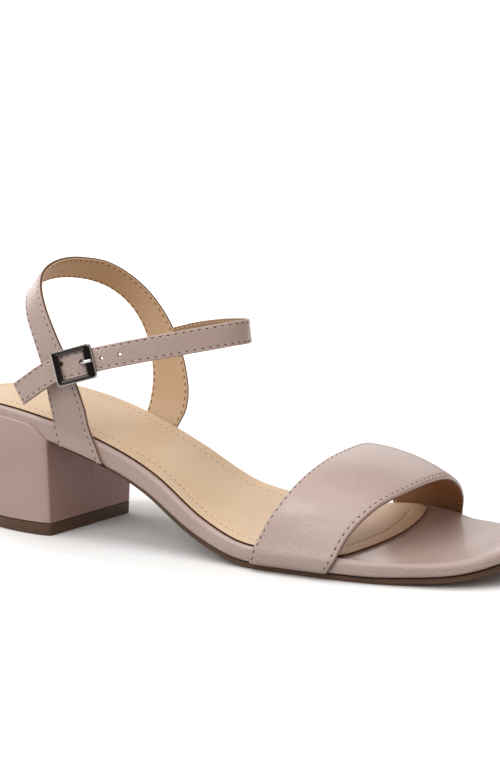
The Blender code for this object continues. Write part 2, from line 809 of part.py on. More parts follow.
def make_buckle_frame(collection, cutters):
    """The frame, with a centre bar that dips behind the strap like a staple."""
    half_length, half_width = BUCKLE_LENGTH / 2, BUCKLE_WIDTH / 2
    outside = rounded_outline(-half_length, half_length, half_width, BUCKLE_ROUND)
    window = rounded_outline(
        -half_length + BUCKLE_BACK_BAR,
        half_length - BUCKLE_FRONT_BAR,
        half_width - BUCKLE_RAIL,
        WINDOW_ROUND,
    )
    mesh = flat_mesh("buckle_frame", [outside, window], BUCKLE_THICKNESS)
    level = STRAP_THICKNESS / 2 + CLEAR + BUCKLE_THICKNESS / 2
    mesh.transform(Matrix.Translation((0.0, 0.0, level * MM)))
    frame = add_object("buckle_frame", mesh, DARK_METAL, collection)
    frame.matrix_world = buckle_matrix()
    rail = half_width - BUCKLE_RAIL / 2
    depth = -CENTRE_BAR_DEPTH
    path = [
        Vector((0.0, rail, level)),
        Vector((0.0, rail, depth + STAPLE_ROUND)),
        Vector((0.0, rail - 0.3 * STAPLE_ROUND, depth + 0.3 * STAPLE_ROUND)),
        Vector((0.0, rail - STAPLE_ROUND, depth)),
    ]
    path += [Vector((0.0, -point.y, point.z)) for point in reversed(path)]
    staple = make_cutter(
        "centre_bar", wire_mesh("centre_bar", path, CENTRE_BAR_RADIUS), cutters
    )
    staple.matrix_world = buckle_matrix()
    add_boolean(frame, staple, "UNION")
    return frame


def make_buckle_prong(collection):
    """The prong: hooked round the centre bar, out through a hole, onto the frame."""
    loop = CENTRE_BAR_RADIUS + CLEAR + PRONG_RADIUS
    path = []
    for step in range(10):
        angle = math.radians(PRONG_HOOK_END - PRONG_HOOK_TURN * step / 9)
        out = -CENTRE_BAR_DEPTH + loop * math.sin(angle)
        path.append(Vector((-loop * math.cos(angle), 0.0, out)))
    rest = STRAP_THICKNESS / 2 + 2 * CLEAR + BUCKLE_THICKNESS + PRONG_RADIUS
    window_end = BUCKLE_LENGTH / 2 - BUCKLE_FRONT_BAR
    for along, out in PRONG_IN_HOLE:
        path.append(Vector((PRONG_HOLE_CENTRE + along, 0.0, out)))
    for along, out in PRONG_OVER_BAR:
        path.append(Vector((window_end + along, 0.0, rest + out)))
    path.append(Vector((PRONG_REACH, 0.0, rest)))
    mesh = wire_mesh("buckle_prong", path, PRONG_RADIUS)
    prong = add_object("buckle_prong", mesh, DARK_METAL, collection)
    prong.matrix_world = buckle_matrix()
    return prong


def make_buckle_tab(collection, cutters):
    """The leather loop round the centre bar, its tongue behind the heel strap."""
    hole_radius = CENTRE_BAR_RADIUS + CLEAR
    radius = hole_radius + TAB_THICKNESS
    centre = -CENTRE_BAR_DEPTH
    under = centre - radius

    def on_circle(distance, degrees):
        angle = math.radians(degrees)
        return Vector((distance * math.cos(angle), centre + distance * math.sin(angle), 0.0))

    outline = [on_circle(radius, 30.0 * step - 90.0) for step in range(9)]
    outline += [
        Vector((-radius, under + TAB_NECK, 0.0)),
        Vector((-TAB_TONGUE, under - TAB_TONGUE_DROP, 0.0)),
        Vector((-TAB_TONGUE, under - TAB_TONGUE_DROP - TAB_THICKNESS, 0.0)),
        Vector((-radius, under - TAB_NECK, 0.0)),
    ]
    hole = [on_circle(hole_radius, 36.0 * step) for step in range(10)]
    mesh = flat_mesh("buckle_tab", [outline, hole], TAB_WIDTH)
    mesh.transform(Matrix.Rotation(math.radians(90.0), 4, "X"))
    tab = add_object("buckle_tab", mesh, TAN_LINING, collection)
    tab.matrix_world = buckle_matrix()
    slot_size = (TAB_SLOT_LENGTH, TAB_SLOT, 4 * radius)
    slot = make_cutter("prong_slot", box_mesh("prong_slot", slot_size), cutters)
    slot.matrix_world = buckle_matrix() @ Matrix.Translation((0.0, 0.0, centre * MM))
    add_boolean(tab, slot, "DIFFERENCE")
    return tab


def shift_to_origin(objects):
    """The move that puts the middle of the shoe's outline over the origin."""
    bpy.context.view_layer.update()
    graph = bpy.context.evaluated_depsgraph_get()
    places = []
    for thing in objects:
        seen = thing.evaluated_get(graph)
        places += [seen.matrix_world @ vertex.co for vertex in seen.data.vertices]
    middle_x = (min(p.x for p in places) + max(p.x for p in places)) / 2
    middle_y = (min(p.y for p in places) + max(p.y for p in places)) / 2
    return Vector((-middle_x, -middle_y, 0.0))


def main():
    for thing in list(bpy.data.objects):
        bpy.data.objects.remove(thing)
    sandal = bpy.data.collections.new("block_heel_sandal")
    cutters = bpy.data.collections.new("cutters")
    bpy.context.scene.collection.children.link(sandal)
    bpy.context.scene.collection.children.link(cutters)

    vamp_feet = (VAMP_OUTER_FOOT, VAMP_INNER_FOOT)
    pieces = [
        make_footbed(sandal),
        make_insole(sandal),
        make_outsole(sandal),
        make_heel_block(sandal),
        make_top_lift(sandal),
        strap_over("vamp_strap", VAMP, vamp_feet, 4, 3, MAUVE_LEATHER, sandal),
        make_heel_and_ankle_strap(sandal, cutters),
        make_buckle_frame(sandal, cutters),
        make_buckle_prong(sandal),
        make_buckle_tab(sandal, cutters),
    ]
    root = bpy.data.objects.new("sandal", None)
    sandal.objects.link(root)
    root.location = shift_to_origin(pieces)
    for thing in pieces + list(cutters.objects):
        thing.parent = root


main()
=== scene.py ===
import math
from collections import namedtuple

import bmesh
import bpy
from mathutils import Matrix, Vector


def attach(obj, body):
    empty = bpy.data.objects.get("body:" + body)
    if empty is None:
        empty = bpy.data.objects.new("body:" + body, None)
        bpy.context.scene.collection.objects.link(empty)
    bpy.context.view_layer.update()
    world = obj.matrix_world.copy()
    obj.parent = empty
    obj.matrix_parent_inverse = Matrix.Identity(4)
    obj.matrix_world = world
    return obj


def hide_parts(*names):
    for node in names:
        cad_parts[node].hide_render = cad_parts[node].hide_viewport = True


# Looks of a block heel sandal, right foot, empty and buckled, standing on its sole.
# Shoe coordinates in millimetres: along runs from the heel's back to the toe, side is
# positive towards the big toe's side, and height is above the floor.

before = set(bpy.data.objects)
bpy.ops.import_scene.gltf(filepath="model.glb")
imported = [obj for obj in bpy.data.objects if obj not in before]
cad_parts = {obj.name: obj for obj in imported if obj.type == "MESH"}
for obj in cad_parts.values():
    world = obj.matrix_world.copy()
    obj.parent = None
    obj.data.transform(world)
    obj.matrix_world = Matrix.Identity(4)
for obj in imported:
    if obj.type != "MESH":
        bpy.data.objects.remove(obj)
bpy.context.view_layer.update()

MM = 0.001
SHOE_ORIGIN = Vector((-122.676, -0.055, 0.0))


def to_frame(point):
    """A shoe place in millimetres as a place of the row frame in metres."""
    return (Vector(point) + SHOE_ORIGIN) * MM


# Camera: the photograph's angle, in the shoe's own sizes
VIEW_TURN = math.radians(27.357)
VIEW_RISE = math.radians(9.707)
VIEW_DISTANCE = 1081.9
VIEW_TARGET = Vector((125.90, 0.0, 61.84))
PIXELS_PER_MM = 2.61
PHOTO_LONG_SIDE = 769
SENSOR = 36.0


def direction(turn, rise):
    """The way from the shoe to a camera or a light."""
    return Vector((
        math.sin(turn) * math.cos(rise), -math.cos(turn) * math.cos(rise), math.sin(rise)
    ))


def add_object(name, data):
    thing = bpy.data.objects.new(name, data)
    bpy.context.scene.collection.objects.link(thing)
    return thing


def aim(thing, place, back):
    """Puts a camera or a light at a place, with its back to the given way."""
    thing.location = place
    thing.rotation_mode = "QUATERNION"
    thing.rotation_quaternion = (-back).to_track_quat("-Z", "Y")


def make_camera():
    back = direction(VIEW_TURN, VIEW_RISE)
    lens = bpy.data.cameras.new("camera")
    lens.sensor_width = SENSOR
    lens.lens = PIXELS_PER_MM * VIEW_DISTANCE / PHOTO_LONG_SIDE * SENSOR
    lens.clip_start, lens.clip_end = 0.05, 60.0
    camera = add_object("camera", lens)
    aim(camera, to_frame(VIEW_TARGET + back * VIEW_DISTANCE), back)
    bpy.context.scene.camera = camera


make_camera()

# Sizes repeated from the part's source
CLEAR = 0.3
LENGTH = 246.0
TOE_TIP_SIDE = 2.0
Plan = namedtuple("Plan", "along outer inner")
PLAN = [
    Plan(0.0, 0.0, 0.0),
    Plan(6.0, 15.0, 15.0),
    Plan(22.0, 26.2, 26.4),
    Plan(45.0, 28.6, 28.8),
    Plan(70.0, 28.0, 26.9),
    Plan(95.0, 28.6, 24.8),
    Plan(120.0, 35.0, 27.8),
    Plan(145.0, 41.2, 34.4),
    Plan(168.0, 42.9, 40.6),
    Plan(190.0, 43.0, 43.4),
    Plan(208.0, 40.6, 41.8),
    Plan(226.0, 35.6, 36.2),
    Plan(239.0, 25.2, 24.4),
    Plan(244.8, 12.0, 15.0),
    Plan(LENGTH, -TOE_TIP_SIDE, TOE_TIP_SIDE),
]
Profile = namedtuple("Profile", "along top rim")
PROFILE = [
    Profile(0.0, 50.4, 8.2),
    Profile(25.0, 50.6, 8.0),
    Profile(50.0, 46.6, 7.9),
    Profile(75.0, 39.3, 7.6),
    Profile(100.0, 28.4, 7.1),
    Profile(125.0, 14.6, 6.2),
    Profile(140.0, 9.6, 5.8),
    Profile(158.0, 8.4, 5.6),
    Profile(192.0, 8.4, 5.6),
    Profile(210.0, 8.9, 5.2),
    Profile(230.0, 10.9, 4.8),
    Profile(LENGTH, 16.1, 4.7),
]
Lift = namedtuple("Lift", "along height")
INNER_LIFT = [
    Lift(95.0, 0.0),
    Lift(107.0, -0.8),
    Lift(115.0, -0.3),
    Lift(126.0, 1.7),
    Lift(142.0, 3.0),
    Lift(162.0, 3.5),
    Lift(186.0, 3.7),
    Lift(194.0, 2.5),
    Lift(200.0, 0.9),
    Lift(212.0, 0.0),
]
Step = namedtuple("Step", "inset depth")
RIM_TOP_EDGE = [
    Step(2.7, 0.45),
    Step(1.9, 0.1),
    Step(1.0, 0.2),
    Step(0.35, 0.7),
    Step(0.0, 1.7),
]
RIM_BOTTOM_ROUND = 0.9

INSOLE_THICKNESS = 0.8
INSOLE_INSET = 2.5
INSOLE_CORNER_ALONG = 180.0
INSOLE_FRONT_ALONG = 189.8
INSOLE_FRONT_BOW = 6.5
INSOLE_CORNER_CUT = 2.5
INSOLE_CORNER_FROM = 0.85

OUTSOLE_THICKNESS = 2.5
OUTSOLE_INSET = 1.8
OUTSOLE_BACK_GAP = 3.6

HEEL_OUTER_CORNER = 52.0
HEEL_INNER_CORNER = 58.0
HEEL_FOOT_OUTER = 27.1
HEEL_FOOT_INNER = 25.9
HEEL_FOOT_BACK = 7.6
HEEL_CORNER_ROUND = 1.8
HEEL_CORNER_FROM = 0.95
HEEL_TAPER_HEIGHT = 38.0
HEEL_COVER = 1.0
HEEL_CUP = 4.6
HEEL_CUP_ROUND = 8.2
HEEL_CUP_FALL = 1.5
HEEL_LIP_ROUND = 0.5
LIFT_THICKNESS = 4.8

STRAP_THICKNESS = 1.6
Tuck = namedtuple("Tuck", "inset below thickness")
TUCK = [
    Tuck(1.45, 0.42, 0.35),
    Tuck(0.3, 0.42, 0.35),
    Tuck(-0.45, -0.1, 0.55),
    Tuck(-0.95, -0.9, 0.9),
    Tuck(-1.1, -2.2, 1.0),
]
STRAP_OFFSET = CLEAR + STRAP_THICKNESS / 2
STRAP_LEAVES_RIM = 0.9
Foot = namedtuple("Foot", "front_top back_top front_under back_under")
Band = namedtuple(
    "Band", "front_along front_side front_height back_along back_side back_height"
)
VAMP_FEET = (Foot(183.0, 149.0, 179.9, 147.9), Foot(195.8, 168.0, 195.2, 168.4))
VAMP = [
    Band(187.3, -39.4, 17.5, 153.6, -36.8, 20.2),
    Band(193.4, -29.2, 26.0, 158.6, -25.7, 30.6),
    Band(198.6, -14.8, 29.5, 162.0, -11.4, 36.3),
    Band(201.2, 1.2, 30.8, 164.4, 4.6, 38.7),
    Band(201.9, 16.6, 29.4, 166.4, 20.3, 38.6),
    Band(200.7, 29.3, 24.4, 167.4, 32.6, 33.6),
    Band(198.4, 39.5, 17.2, 167.8, 40.0, 24.0),
]
HEEL_STRAP_FEET = (Foot(74.2, 56.2, 80.0, 60.2), Foot(79.3, 64.9, 79.6, 65.4))
HEEL_STRAP = [
    Band(71.9, -30.6, 46.0, 56.2, -30.4, 48.8),
    Band(71.3, -32.2, 52.6, 55.8, -31.8, 54.2),
    Band(66.3, -34.2, 68.5, 53.5, -33.2, 68.0),
    Band(60.0, -34.4, 81.4, 49.4, -32.6, 78.5),
    Band(54.4, -32.4, 91.1, 45.3, -30.3, 86.2),
    Band(49.9, -28.0, 98.0, 42.0, -25.8, 91.7),
    Band(47.0, -21.3, 102.8, 39.9, -19.4, 95.4),
    Band(46.0, -12.3, 105.5, 39.4, -10.9, 97.6),
    Band(47.0, -2.0, 106.4, 40.3, -1.2, 98.3),
    Band(49.6, 8.7, 105.2, 42.5, 9.0, 97.4),
    Band(53.5, 18.5, 102.5, 45.7, 18.5, 95.1),
    Band(58.4, 26.5, 97.0, 49.6, 26.4, 91.2),
    Band(64.0, 32.3, 89.5, 54.0, 32.1, 85.3),
    Band(70.3, 35.5, 79.2, 58.4, 35.4, 77.1),
    Band(76.0, 36.0, 66.8, 62.1, 35.9, 66.8),
    Band(80.7, 33.3, 52.5, 64.8, 33.4, 54.6),
    Band(81.2, 30.6, 43.8, 65.0, 30.6, 46.0),
]

BUCKLE_PLACE = Vector((70.5, -37.0, 70.6))
BUCKLE_YAW = math.radians(12.0)
BUCKLE_RISE = math.radians(16.5)
BUCKLE_LEAN = 8.0
BUCKLE_LENGTH = 16.4
BUCKLE_WIDTH = 13.5
BUCKLE_BACK_BAR = 2.5
BUCKLE_FRONT_BAR = 3.6
BUCKLE_RAIL = 1.9
BUCKLE_THICKNESS = 1.6
BUCKLE_ROUND = 1.3
WINDOW_ROUND = 0.4
BUCKLE_STRAIGHT = 9.0
CENTRE_BAR_RADIUS = 0.7
CENTRE_BAR_DEPTH = 3.6
STAPLE_ROUND = 1.2
PRONG_RADIUS = 0.7
PRONG_REACH = 7.4
PRONG_HOLE_CENTRE = 2.8
PRONG_HOOK_TURN = 270.0
PRONG_HOOK_END = 65.0
PRONG_HOOK_STEPS = 27
PRONG_IN_HOLE = ((-0.4, -0.6), (0.3, 0.9))
PRONG_OVER_BAR = ((-0.7, -0.3), (0.6, 0.2))
TAB_THICKNESS = 0.8
TAB_WIDTH = 7.0
TAB_TONGUE = 11.0
TAB_TONGUE_DROP = 2.2
TAB_NECK = 0.5
TAB_SLOT = 2.4
TAB_SLOT_LENGTH = 6.4

ANKLE_STRAP_WIDTH = 9.3
Line = namedtuple("Line", "along side height lean")
ANKLE_TAIL = [
    Line(46.7, -40.0, 58.1, 6.0),
    Line(52.2, -40.0, 61.9, 7.0),
    Line(57.2, -39.6, 65.4, 8.0),
]
ANKLE_FRONT = [
    Line(89.4, -30.4, 75.7, 9.0),
    Line(98.9, -25.0, 77.7, 9.0),
    Line(106.8, -20.2, 79.3, 8.0),
    Line(113.4, -16.1, 80.6, 7.0),
    Line(118.6, -12.2, 81.6, 6.0),
    Line(122.0, -8.4, 82.2, 6.0),
    Line(124.0, -4.7, 82.4, 6.0),
    Line(124.7, -1.0, 82.3, 6.0),
    Line(123.8, 2.9, 82.0, 6.0),
    Line(121.6, 6.9, 81.6, 6.0),
    Line(117.8, 10.9, 80.9, 6.0),
    Line(112.4, 15.2, 80.0, 6.0),
    Line(105.4, 20.0, 78.8, 6.0),
    Line(96.6, 25.3, 77.0, 5.0),
    Line(86.0, 31.0, 74.5, 3.0),
    Line(76.0, 35.4, 71.6, 2.0),
    Line(69.0, 37.2, 69.6, 0.0),
    Line(62.6, 37.2, 67.8, 0.0),
]

# Finer sizes for the looks alone
PLAN_STEPS = 200
TOE_BARE_FROM = 186.0
TOE_SOFTENS = (206.0, 228.0)
TOE_EDGE_ROUND = 2.6
SEAM_DEPTH = 0.16
SEAM_SPREAD = 0.38
LINING_EDGE_ROUND = 0.22
Edge = namedtuple("Edge", "leather_round paint_high paint_low first_seam last_seam far_seam")
FOLDED_VAMP = Edge(0.62, -0.3, -0.6, 1.6, 1.2, 1.5)
PAINTED_HEEL_STRAP = Edge(0.24, 0.36, -0.28, 2.1, 0.75, 1.0)
FOLDED_ANKLE = Edge(0.5, -0.2, -0.55, 1.2, 0.9, 1.2)
Punch = namedtuple("Punch", "along rise radius")
PUNCHED_HOLES = (
    Punch(-5.2, 1.5, 0.7), Punch(PRONG_HOLE_CENTRE + 0.3, 0.2, 0.95),
    Punch(10.7, 0.0, 0.58), Punch(17.9, 0.1, 0.68),
)
HOLE_SLOPE = 0.3
WINDOW_LINE = 3.0
WINDOW_RISE = 0.2
WINDOW_WIDENS = 0.7
STITCH_PITCH = 2.9
ANKLE_STITCH_PITCH = 3.0

OUTER, INNER = -1, 1


def smooth_rule(places, values):
    """A smooth curve through the rows, which stays level between level rows."""
    count = len(places)
    slopes = [
        (values[i + 1] - values[i]) / (places[i + 1] - places[i])
        for i in range(count - 1)
    ]
    tangents = [slopes[0]]
    for i in range(1, count - 1):
        before = places[i] - places[i - 1]
        after = places[i + 1] - places[i]
        level = slopes[i - 1] == 0.0 or slopes[i] == 0.0
        mean = (slopes[i - 1] * after + slopes[i] * before) / (before + after)
        tangents.append(0.0 if level else mean)
    tangents.append(slopes[-1])

    def value(place):
        place = min(max(place, places[0]), places[-1])
        i = 0
        while i < count - 2 and place > places[i + 1]:
            i += 1
        width = places[i + 1] - places[i]
        t = (place - places[i]) / width
        return (
            (2 * t ** 3 - 3 * t ** 2 + 1) * values[i]
            + (t ** 3 - 2 * t ** 2 + t) * width * tangents[i]
            + (3 * t ** 2 - 2 * t ** 3) * values[i + 1]
            + (t ** 3 - t ** 2) * width * tangents[i + 1]
        )

    return value


def turn_at(along):
    """The angle round the outline, from 0 at the heel's back to pi at the toe."""
    return math.acos(1.0 - 2.0 * along / LENGTH)


def along_at(turn):
    """How far from the heel's back an angle round the outline is."""
    return LENGTH / 2 * (1.0 - math.cos(turn))


def rule(rows, column):
    """A smooth rule for one column of a table, by the distance along the shoe."""
    return smooth_rule([row.along for row in rows], [getattr(row, column) for row in rows])


PLAN_TURNS = [turn_at(row.along) for row in PLAN]
OUTER_HALF = smooth_rule(PLAN_TURNS, [row.outer for row in PLAN])
INNER_HALF = smooth_rule(PLAN_TURNS, [row.inner for row in PLAN])
TOP_HEIGHT = rule(PROFILE, "top")
RIM_THICKNESS = rule(PROFILE, "rim")
LIFT_HEIGHT = rule(INNER_LIFT, "height")
PLAN_STATIONS = [math.pi * i / PLAN_STEPS for i in range(PLAN_STEPS + 1)]


def edge_point(side, turn, outset=0.0):
    """A point of the sole's outline in plan, moved out from its wall."""

    def place(angle):
        half = OUTER_HALF(angle) if side == OUTER else INNER_HALF(angle)
        return Vector((along_at(angle), side * half))

    nudge = 0.01
    low, high = max(turn - nudge, 0.0), min(turn + nudge, math.pi)
    tangent = (place(high) - place(low)).normalized()
    if turn < nudge:
        tangent = tangent.lerp(Vector((0.0, side)), 1.0 - turn / nudge).normalized()
    if turn > math.pi - nudge:
        share = 1.0 - (math.pi - turn) / nudge
        tangent = tangent.lerp(Vector((0.0, -side)), share).normalized()
    outward = Vector((-side * tangent.y, side * tangent.x))
    return place(turn) + outward * outset


def slope_at(along):
    """How steeply the footbed's top rises towards the toe."""
    nudge = 0.5
    return (TOP_HEIGHT(along + nudge) - TOP_HEIGHT(along - nudge)) / (2 * nudge)


def lowered(point, depth):
    """A plan point on the top line's surface, moved down along its normal."""
    along = min(max(point.x, 0.0), LENGTH)
    slope = slope_at(along)
    length = math.hypot(slope, 1.0)
    return Vector((
        point.x + depth * slope / length,
        point.y,
        TOP_HEIGHT(along) - depth / length,
    ))


def lifted(point, depth):
    """The same below the footbed's top, which rises evenly towards the inner side."""
    turn = turn_at(min(max(point.x, 0.0), LENGTH))
    outer = OUTER_HALF(turn)
    share = (point.y + outer) / max(outer + INNER_HALF(turn), CLEAR)
    rise = LIFT_HEIGHT(point.x) * min(max(share, 0.0), 1.0)
    return lowered(point, depth) + Vector((0.0, 0.0, rise))


def height_below_rim(along, gap):
    """Height of the rim's underside, less a gap, straight above a plan place."""
    place = along
    for _ in range(6):
        depth = RIM_THICKNESS(place) + gap
        found = lowered(Vector((place, 0.0)), depth)
        place += along - found.x
    return found.z


def quarter_round(radius, steps):
    """Insets and drops of a rounded edge, from its wall over to its flat."""
    angles = [math.radians(90.0 * step / steps) for step in range(steps + 1)]
    return [(radius * (1.0 - math.cos(a)), radius * (1.0 - math.sin(a))) for a in angles]


def curve_between(points, steps):
    """Points read from a smooth curve through the given ones."""
    ends = [2 * points[0] - points[1]] + points + [2 * points[-1] - points[-2]]
    found = []
    for i in range(1, len(ends) - 2):
        a, b, c, d = ends[i - 1:i + 3]
        knots = [0.0]
        for first, second in ((a, b), (b, c), (c, d)):
            knots.append(knots[-1] + max((second - first).length, 0.001) ** 0.5)
        for step in range(steps):
            t = knots[1] + (knots[2] - knots[1]) * step / steps

            def mix(p, q, low, high):
                return p * ((high - t) / (high - low)) + q * ((t - low) / (high - low))

            ab = mix(a, b, knots[0], knots[1])
            bc = mix(b, c, knots[1], knots[2])
            cd = mix(c, d, knots[2], knots[3])
            abc = mix(ab, bc, knots[0], knots[2])
            bcd = mix(bc, cd, knots[1], knots[3])
            found.append(mix(abc, bcd, knots[1], knots[2]))
    found.append(points[-1])
    return found


# Materials: a wrapper that turns sums on sockets into Math nodes, and a recipe
class Value:
    """A number that changes over a surface; sums on it add Math nodes."""

    def __init__(self, recipe, socket):
        self.recipe = recipe
        self.socket = socket

    def joined(self, operation, first, second):
        inputs = {0: first, 1: second}
        return self.recipe.value("ShaderNodeMath", {"operation": operation}, inputs)

    def __add__(self, other):
        return self.joined("ADD", self, other)

    __radd__ = __add__

    def __sub__(self, other):
        return self.joined("SUBTRACT", self, other)

    def __rsub__(self, other):
        return self.joined("SUBTRACT", other, self)

    def __mul__(self, other):
        return self.joined("MULTIPLY", self, other)

    __rmul__ = __mul__


class Nodes:
    """A node tree written as calls: a node's settings first, then its sockets."""

    def __init__(self, tree):
        self.tree = tree

    def feed(self, node, inputs):
        for name, value in inputs.items():
            socket = node.inputs[name]
            if isinstance(value, Value):
                self.tree.links.new(value.socket, socket)
            elif isinstance(value, bpy.types.NodeSocket):
                self.tree.links.new(value, socket)
            else:
                socket.default_value = value

    def node(self, kind, settings=None, inputs=None):
        node = self.tree.nodes.new(kind)
        for name, setting in (settings or {}).items():
            if name == "stops":
                self.set_stops(node.color_ramp, setting)
            else:
                setattr(node, name, setting)
        self.feed(node, inputs or {})
        return node

    def set_stops(self, ramp, stops):
        while len(ramp.elements) < len(stops):
            ramp.elements.new(0.5)
        for element, (place, colour) in zip(ramp.elements, stops):
            element.position, element.color = place, colour


class Recipe(Nodes):
    """One material: its constants on the shader, and nodes for what varies."""

    def __init__(self, name, numbers):
        self.material = bpy.data.materials.new(name)
        self.material.use_nodes = True
        super().__init__(self.material.node_tree)
        self.shader = self.tree.nodes["Principled BSDF"]
        self.feed(self.shader, numbers)

    def value(self, kind, settings, inputs, output=0):
        return Value(self, self.node(kind, settings, inputs).outputs[output])

    def place(self):
        return self.node("ShaderNodeTexCoord").outputs["Object"]

    def noise(self, scale, detail=2.0, roughness=0.5):
        inputs = {
            "Vector": self.place(), "Scale": scale, "Detail": detail, "Roughness": roughness,
        }
        return self.value("ShaderNodeTexNoise", {}, inputs, "Fac")

    def cells(self, scale, smoothness):
        inputs = {"Vector": self.place(), "Scale": scale, "Smoothness": smoothness}
        return self.value("ShaderNodeTexVoronoi", {"feature": "SMOOTH_F1"}, inputs, "Distance")

    def stops(self, value, stops):
        """A number turned into another by a ramp of places and greys."""
        greys = [(place, (grey, grey, grey, 1.0)) for place, grey in stops]
        return self.value("ShaderNodeValToRGB", {"stops": greys}, {"Fac": value}, "Color")

    def mixed(self, share, first, second):
        """A colour between two; the colour sockets of a Mix node are its 6 and 7."""
        inputs = {0: share, 6: first, 7: second}
        return self.node("ShaderNodeMix", {"data_type": "RGBA"}, inputs).outputs[2]

    def bump(self, height, distance):
        inputs = {"Height": height, "Distance": distance * MM}
        return self.node("ShaderNodeBump", {}, inputs).outputs["Normal"]

    def finish(self, inputs):
        self.feed(self.shader, inputs)
        return self.material


def colour(red, green, blue):
    """A colour seen in the photograph's 0 to 255 values, as the shader's light values."""
    values = []
    for level in (red, green, blue):
        share = level / 255.0
        values.append(share / 12.92 if share <= 0.04045 else ((share + 0.055) / 1.055) ** 2.4)
    return (*values, 1.0)


PORE_SHADE = 0.78
LINING_ROUGHNESS = 0.5
LINING_GRAIN = 0.05


def make_mauve_leather(name, mid, light, grain_depth, gloss):
    """Smooth leather: fine pebbles, soft wrinkles, faint patches and a low gloss."""
    leather = Recipe(name, {
        "Specular IOR Level": 0.25 + 0.8 * gloss,
        "Coat Weight": gloss,
        "Coat Roughness": 0.2,
    })
    pebbles = leather.cells(1250.0, 0.3)
    wrinkles = leather.noise(560.0, 3.0, 0.6)
    pores = leather.noise(3400.0)
    patches = leather.noise(24.0, 3.0)
    rubbed = leather.noise(75.0, 4.0, 0.6)
    height = (1.0 - pebbles) * 0.8 + wrinkles * 0.2 + pores * 0.1
    worn = leather.stops(patches * 0.7 + rubbed * 0.3, ((0.36, 0.0), (0.64, 1.0)))
    tone = leather.mixed(worn, colour(*mid), colour(*light))
    # Painted shade: the colour darkens in the hollows between the grain's pebbles.
    pore_shade_share = leather.stops(pebbles, ((0.4, 0.0), (0.8, 0.14)))
    pore_shade_colour = [level * PORE_SHADE for level in colour(*mid)[:3]] + [1.0]
    return leather.finish({
        "Base Color": leather.mixed(pore_shade_share, tone, pore_shade_colour),
        "Roughness": 0.33 + pebbles * 0.12 + patches * 0.08,
        "Normal": leather.bump(height, grain_depth),
    })


def make_tan_leather(name, mid, light):
    """Matte lining leather: fine pores and fibres, and faint patches."""
    lining = Recipe(name, {"Specular IOR Level": 0.25})
    pores = lining.cells(1900.0, 0.5)
    fibres = lining.noise(900.0, 4.0, 0.6)
    patches = lining.stops(lining.noise(34.0, 3.0), ((0.3, 0.0), (0.7, 1.0)))
    return lining.finish({
        "Base Color": lining.mixed(patches, colour(*mid), colour(*light)),
        "Roughness": LINING_ROUGHNESS + fibres * 0.1,
        "Normal": lining.bump(pores * 0.6 + fibres * 0.5, LINING_GRAIN),
    })


# Dark brown edge paint for cut edges, also laid on strap ends as painted shade under the rim.
def make_edge_paint_and_shade(name):
    paint = Recipe(name, {"Specular IOR Level": 0.2})
    lumps = paint.noise(1100.0, 3.0)
    return paint.finish({
        "Base Color": paint.mixed(lumps, colour(66, 38, 22), colour(94, 60, 38)),
        "Roughness": 0.45 + lumps * 0.15,
        "Normal": paint.bump(lumps, 0.08),
    })


def make_brown_sole(name):
    sole = Recipe(name, {"Specular IOR Level": 0.4})
    grain = sole.noise(700.0, 4.0, 0.6)
    patches = sole.noise(60.0, 3.0)
    tone = sole.mixed(patches, colour(78, 54, 38), colour(108, 78, 54))
    return sole.finish({
        "Base Color": sole.mixed(grain * 0.35, tone, colour(70, 47, 34)),
        "Roughness": 0.42 + grain * 0.2,
        "Normal": sole.bump(grain, 0.06),
    })


def make_metal(name, dark, light, roughness):
    """Plated metal, with its colours given as light values."""
    metal = Recipe(name, {"Metallic": 1.0, "Specular IOR Level": 0.5})
    swirls = metal.noise(240.0, 3.0)
    scratches = metal.noise(4200.0)
    return metal.finish({
        "Base Color": metal.mixed(swirls, (*dark, 1.0), (*light, 1.0)),
        "Roughness": roughness + scratches * 0.05,
        "Normal": metal.bump(swirls, 0.02),
    })


def make_thread(name, mid, light):
    thread = Recipe(name, {"Specular IOR Level": 0.35})
    twist = thread.noise(2600.0, 1.0)
    return thread.finish({
        "Base Color": thread.mixed(twist, colour(*mid), colour(*light)),
        "Roughness": 0.5 + twist * 0.2,
        "Normal": thread.bump(twist, 0.08),
    })


# Needle holes are dark beads on the surface: painted shade where the thread dives into the
# leather.
def make_needle_hole_shade(name, dark, light):
    hole = Recipe(name, {"Specular IOR Level": 0.1})
    lumps = hole.noise(1800.0, 1.0)
    return hole.finish({
        "Base Color": hole.mixed(lumps, colour(*dark), colour(*light)),
        "Roughness": 0.85 + lumps * 0.1,
    })


MAUVE_LEATHER = make_mauve_leather("mauve_leather", (180, 156, 147), (188, 165, 156), 0.2, 0.36)
HEEL_LEATHER = make_mauve_leather("heel_leather", (193, 164, 156), (198, 170, 161), 0.04, 0.1)
# The breast's leather is the heel leather darker and redder: painted shade on the side turned
# from the lights.
SHADED_BREAST_LEATHER = make_mauve_leather("breast_leather_painted_shade", (184, 144, 136), (189, 149, 140), 0.04, 0.1)
TAN_LINING = make_tan_leather("tan_lining", (206, 173, 139), (215, 184, 151))
# The vamp's lining is the tan lining darker and browner: painted shade under the vamp.
SHADED_VAMP_LINING = make_tan_leather("vamp_lining_painted_shade", (156, 112, 78), (168, 126, 92))
# The ankle strap's lining is a darker copy of the tan lining: painted shade.
SHADED_ANKLE_LINING = make_tan_leather("ankle_lining_painted_shade", (150, 118, 90), (162, 130, 100))
TAN_SOCK = make_tan_leather("tan_sock", (218, 188, 156), (225, 196, 166))
EDGE_PAINT_AND_SHADE = make_edge_paint_and_shade("edge_paint_and_shade")
BROWN_SOLE = make_brown_sole("brown_sole")
DARK_METAL = make_metal("dark_metal", (0.03, 0.026, 0.024), (0.055, 0.049, 0.045), 0.04)
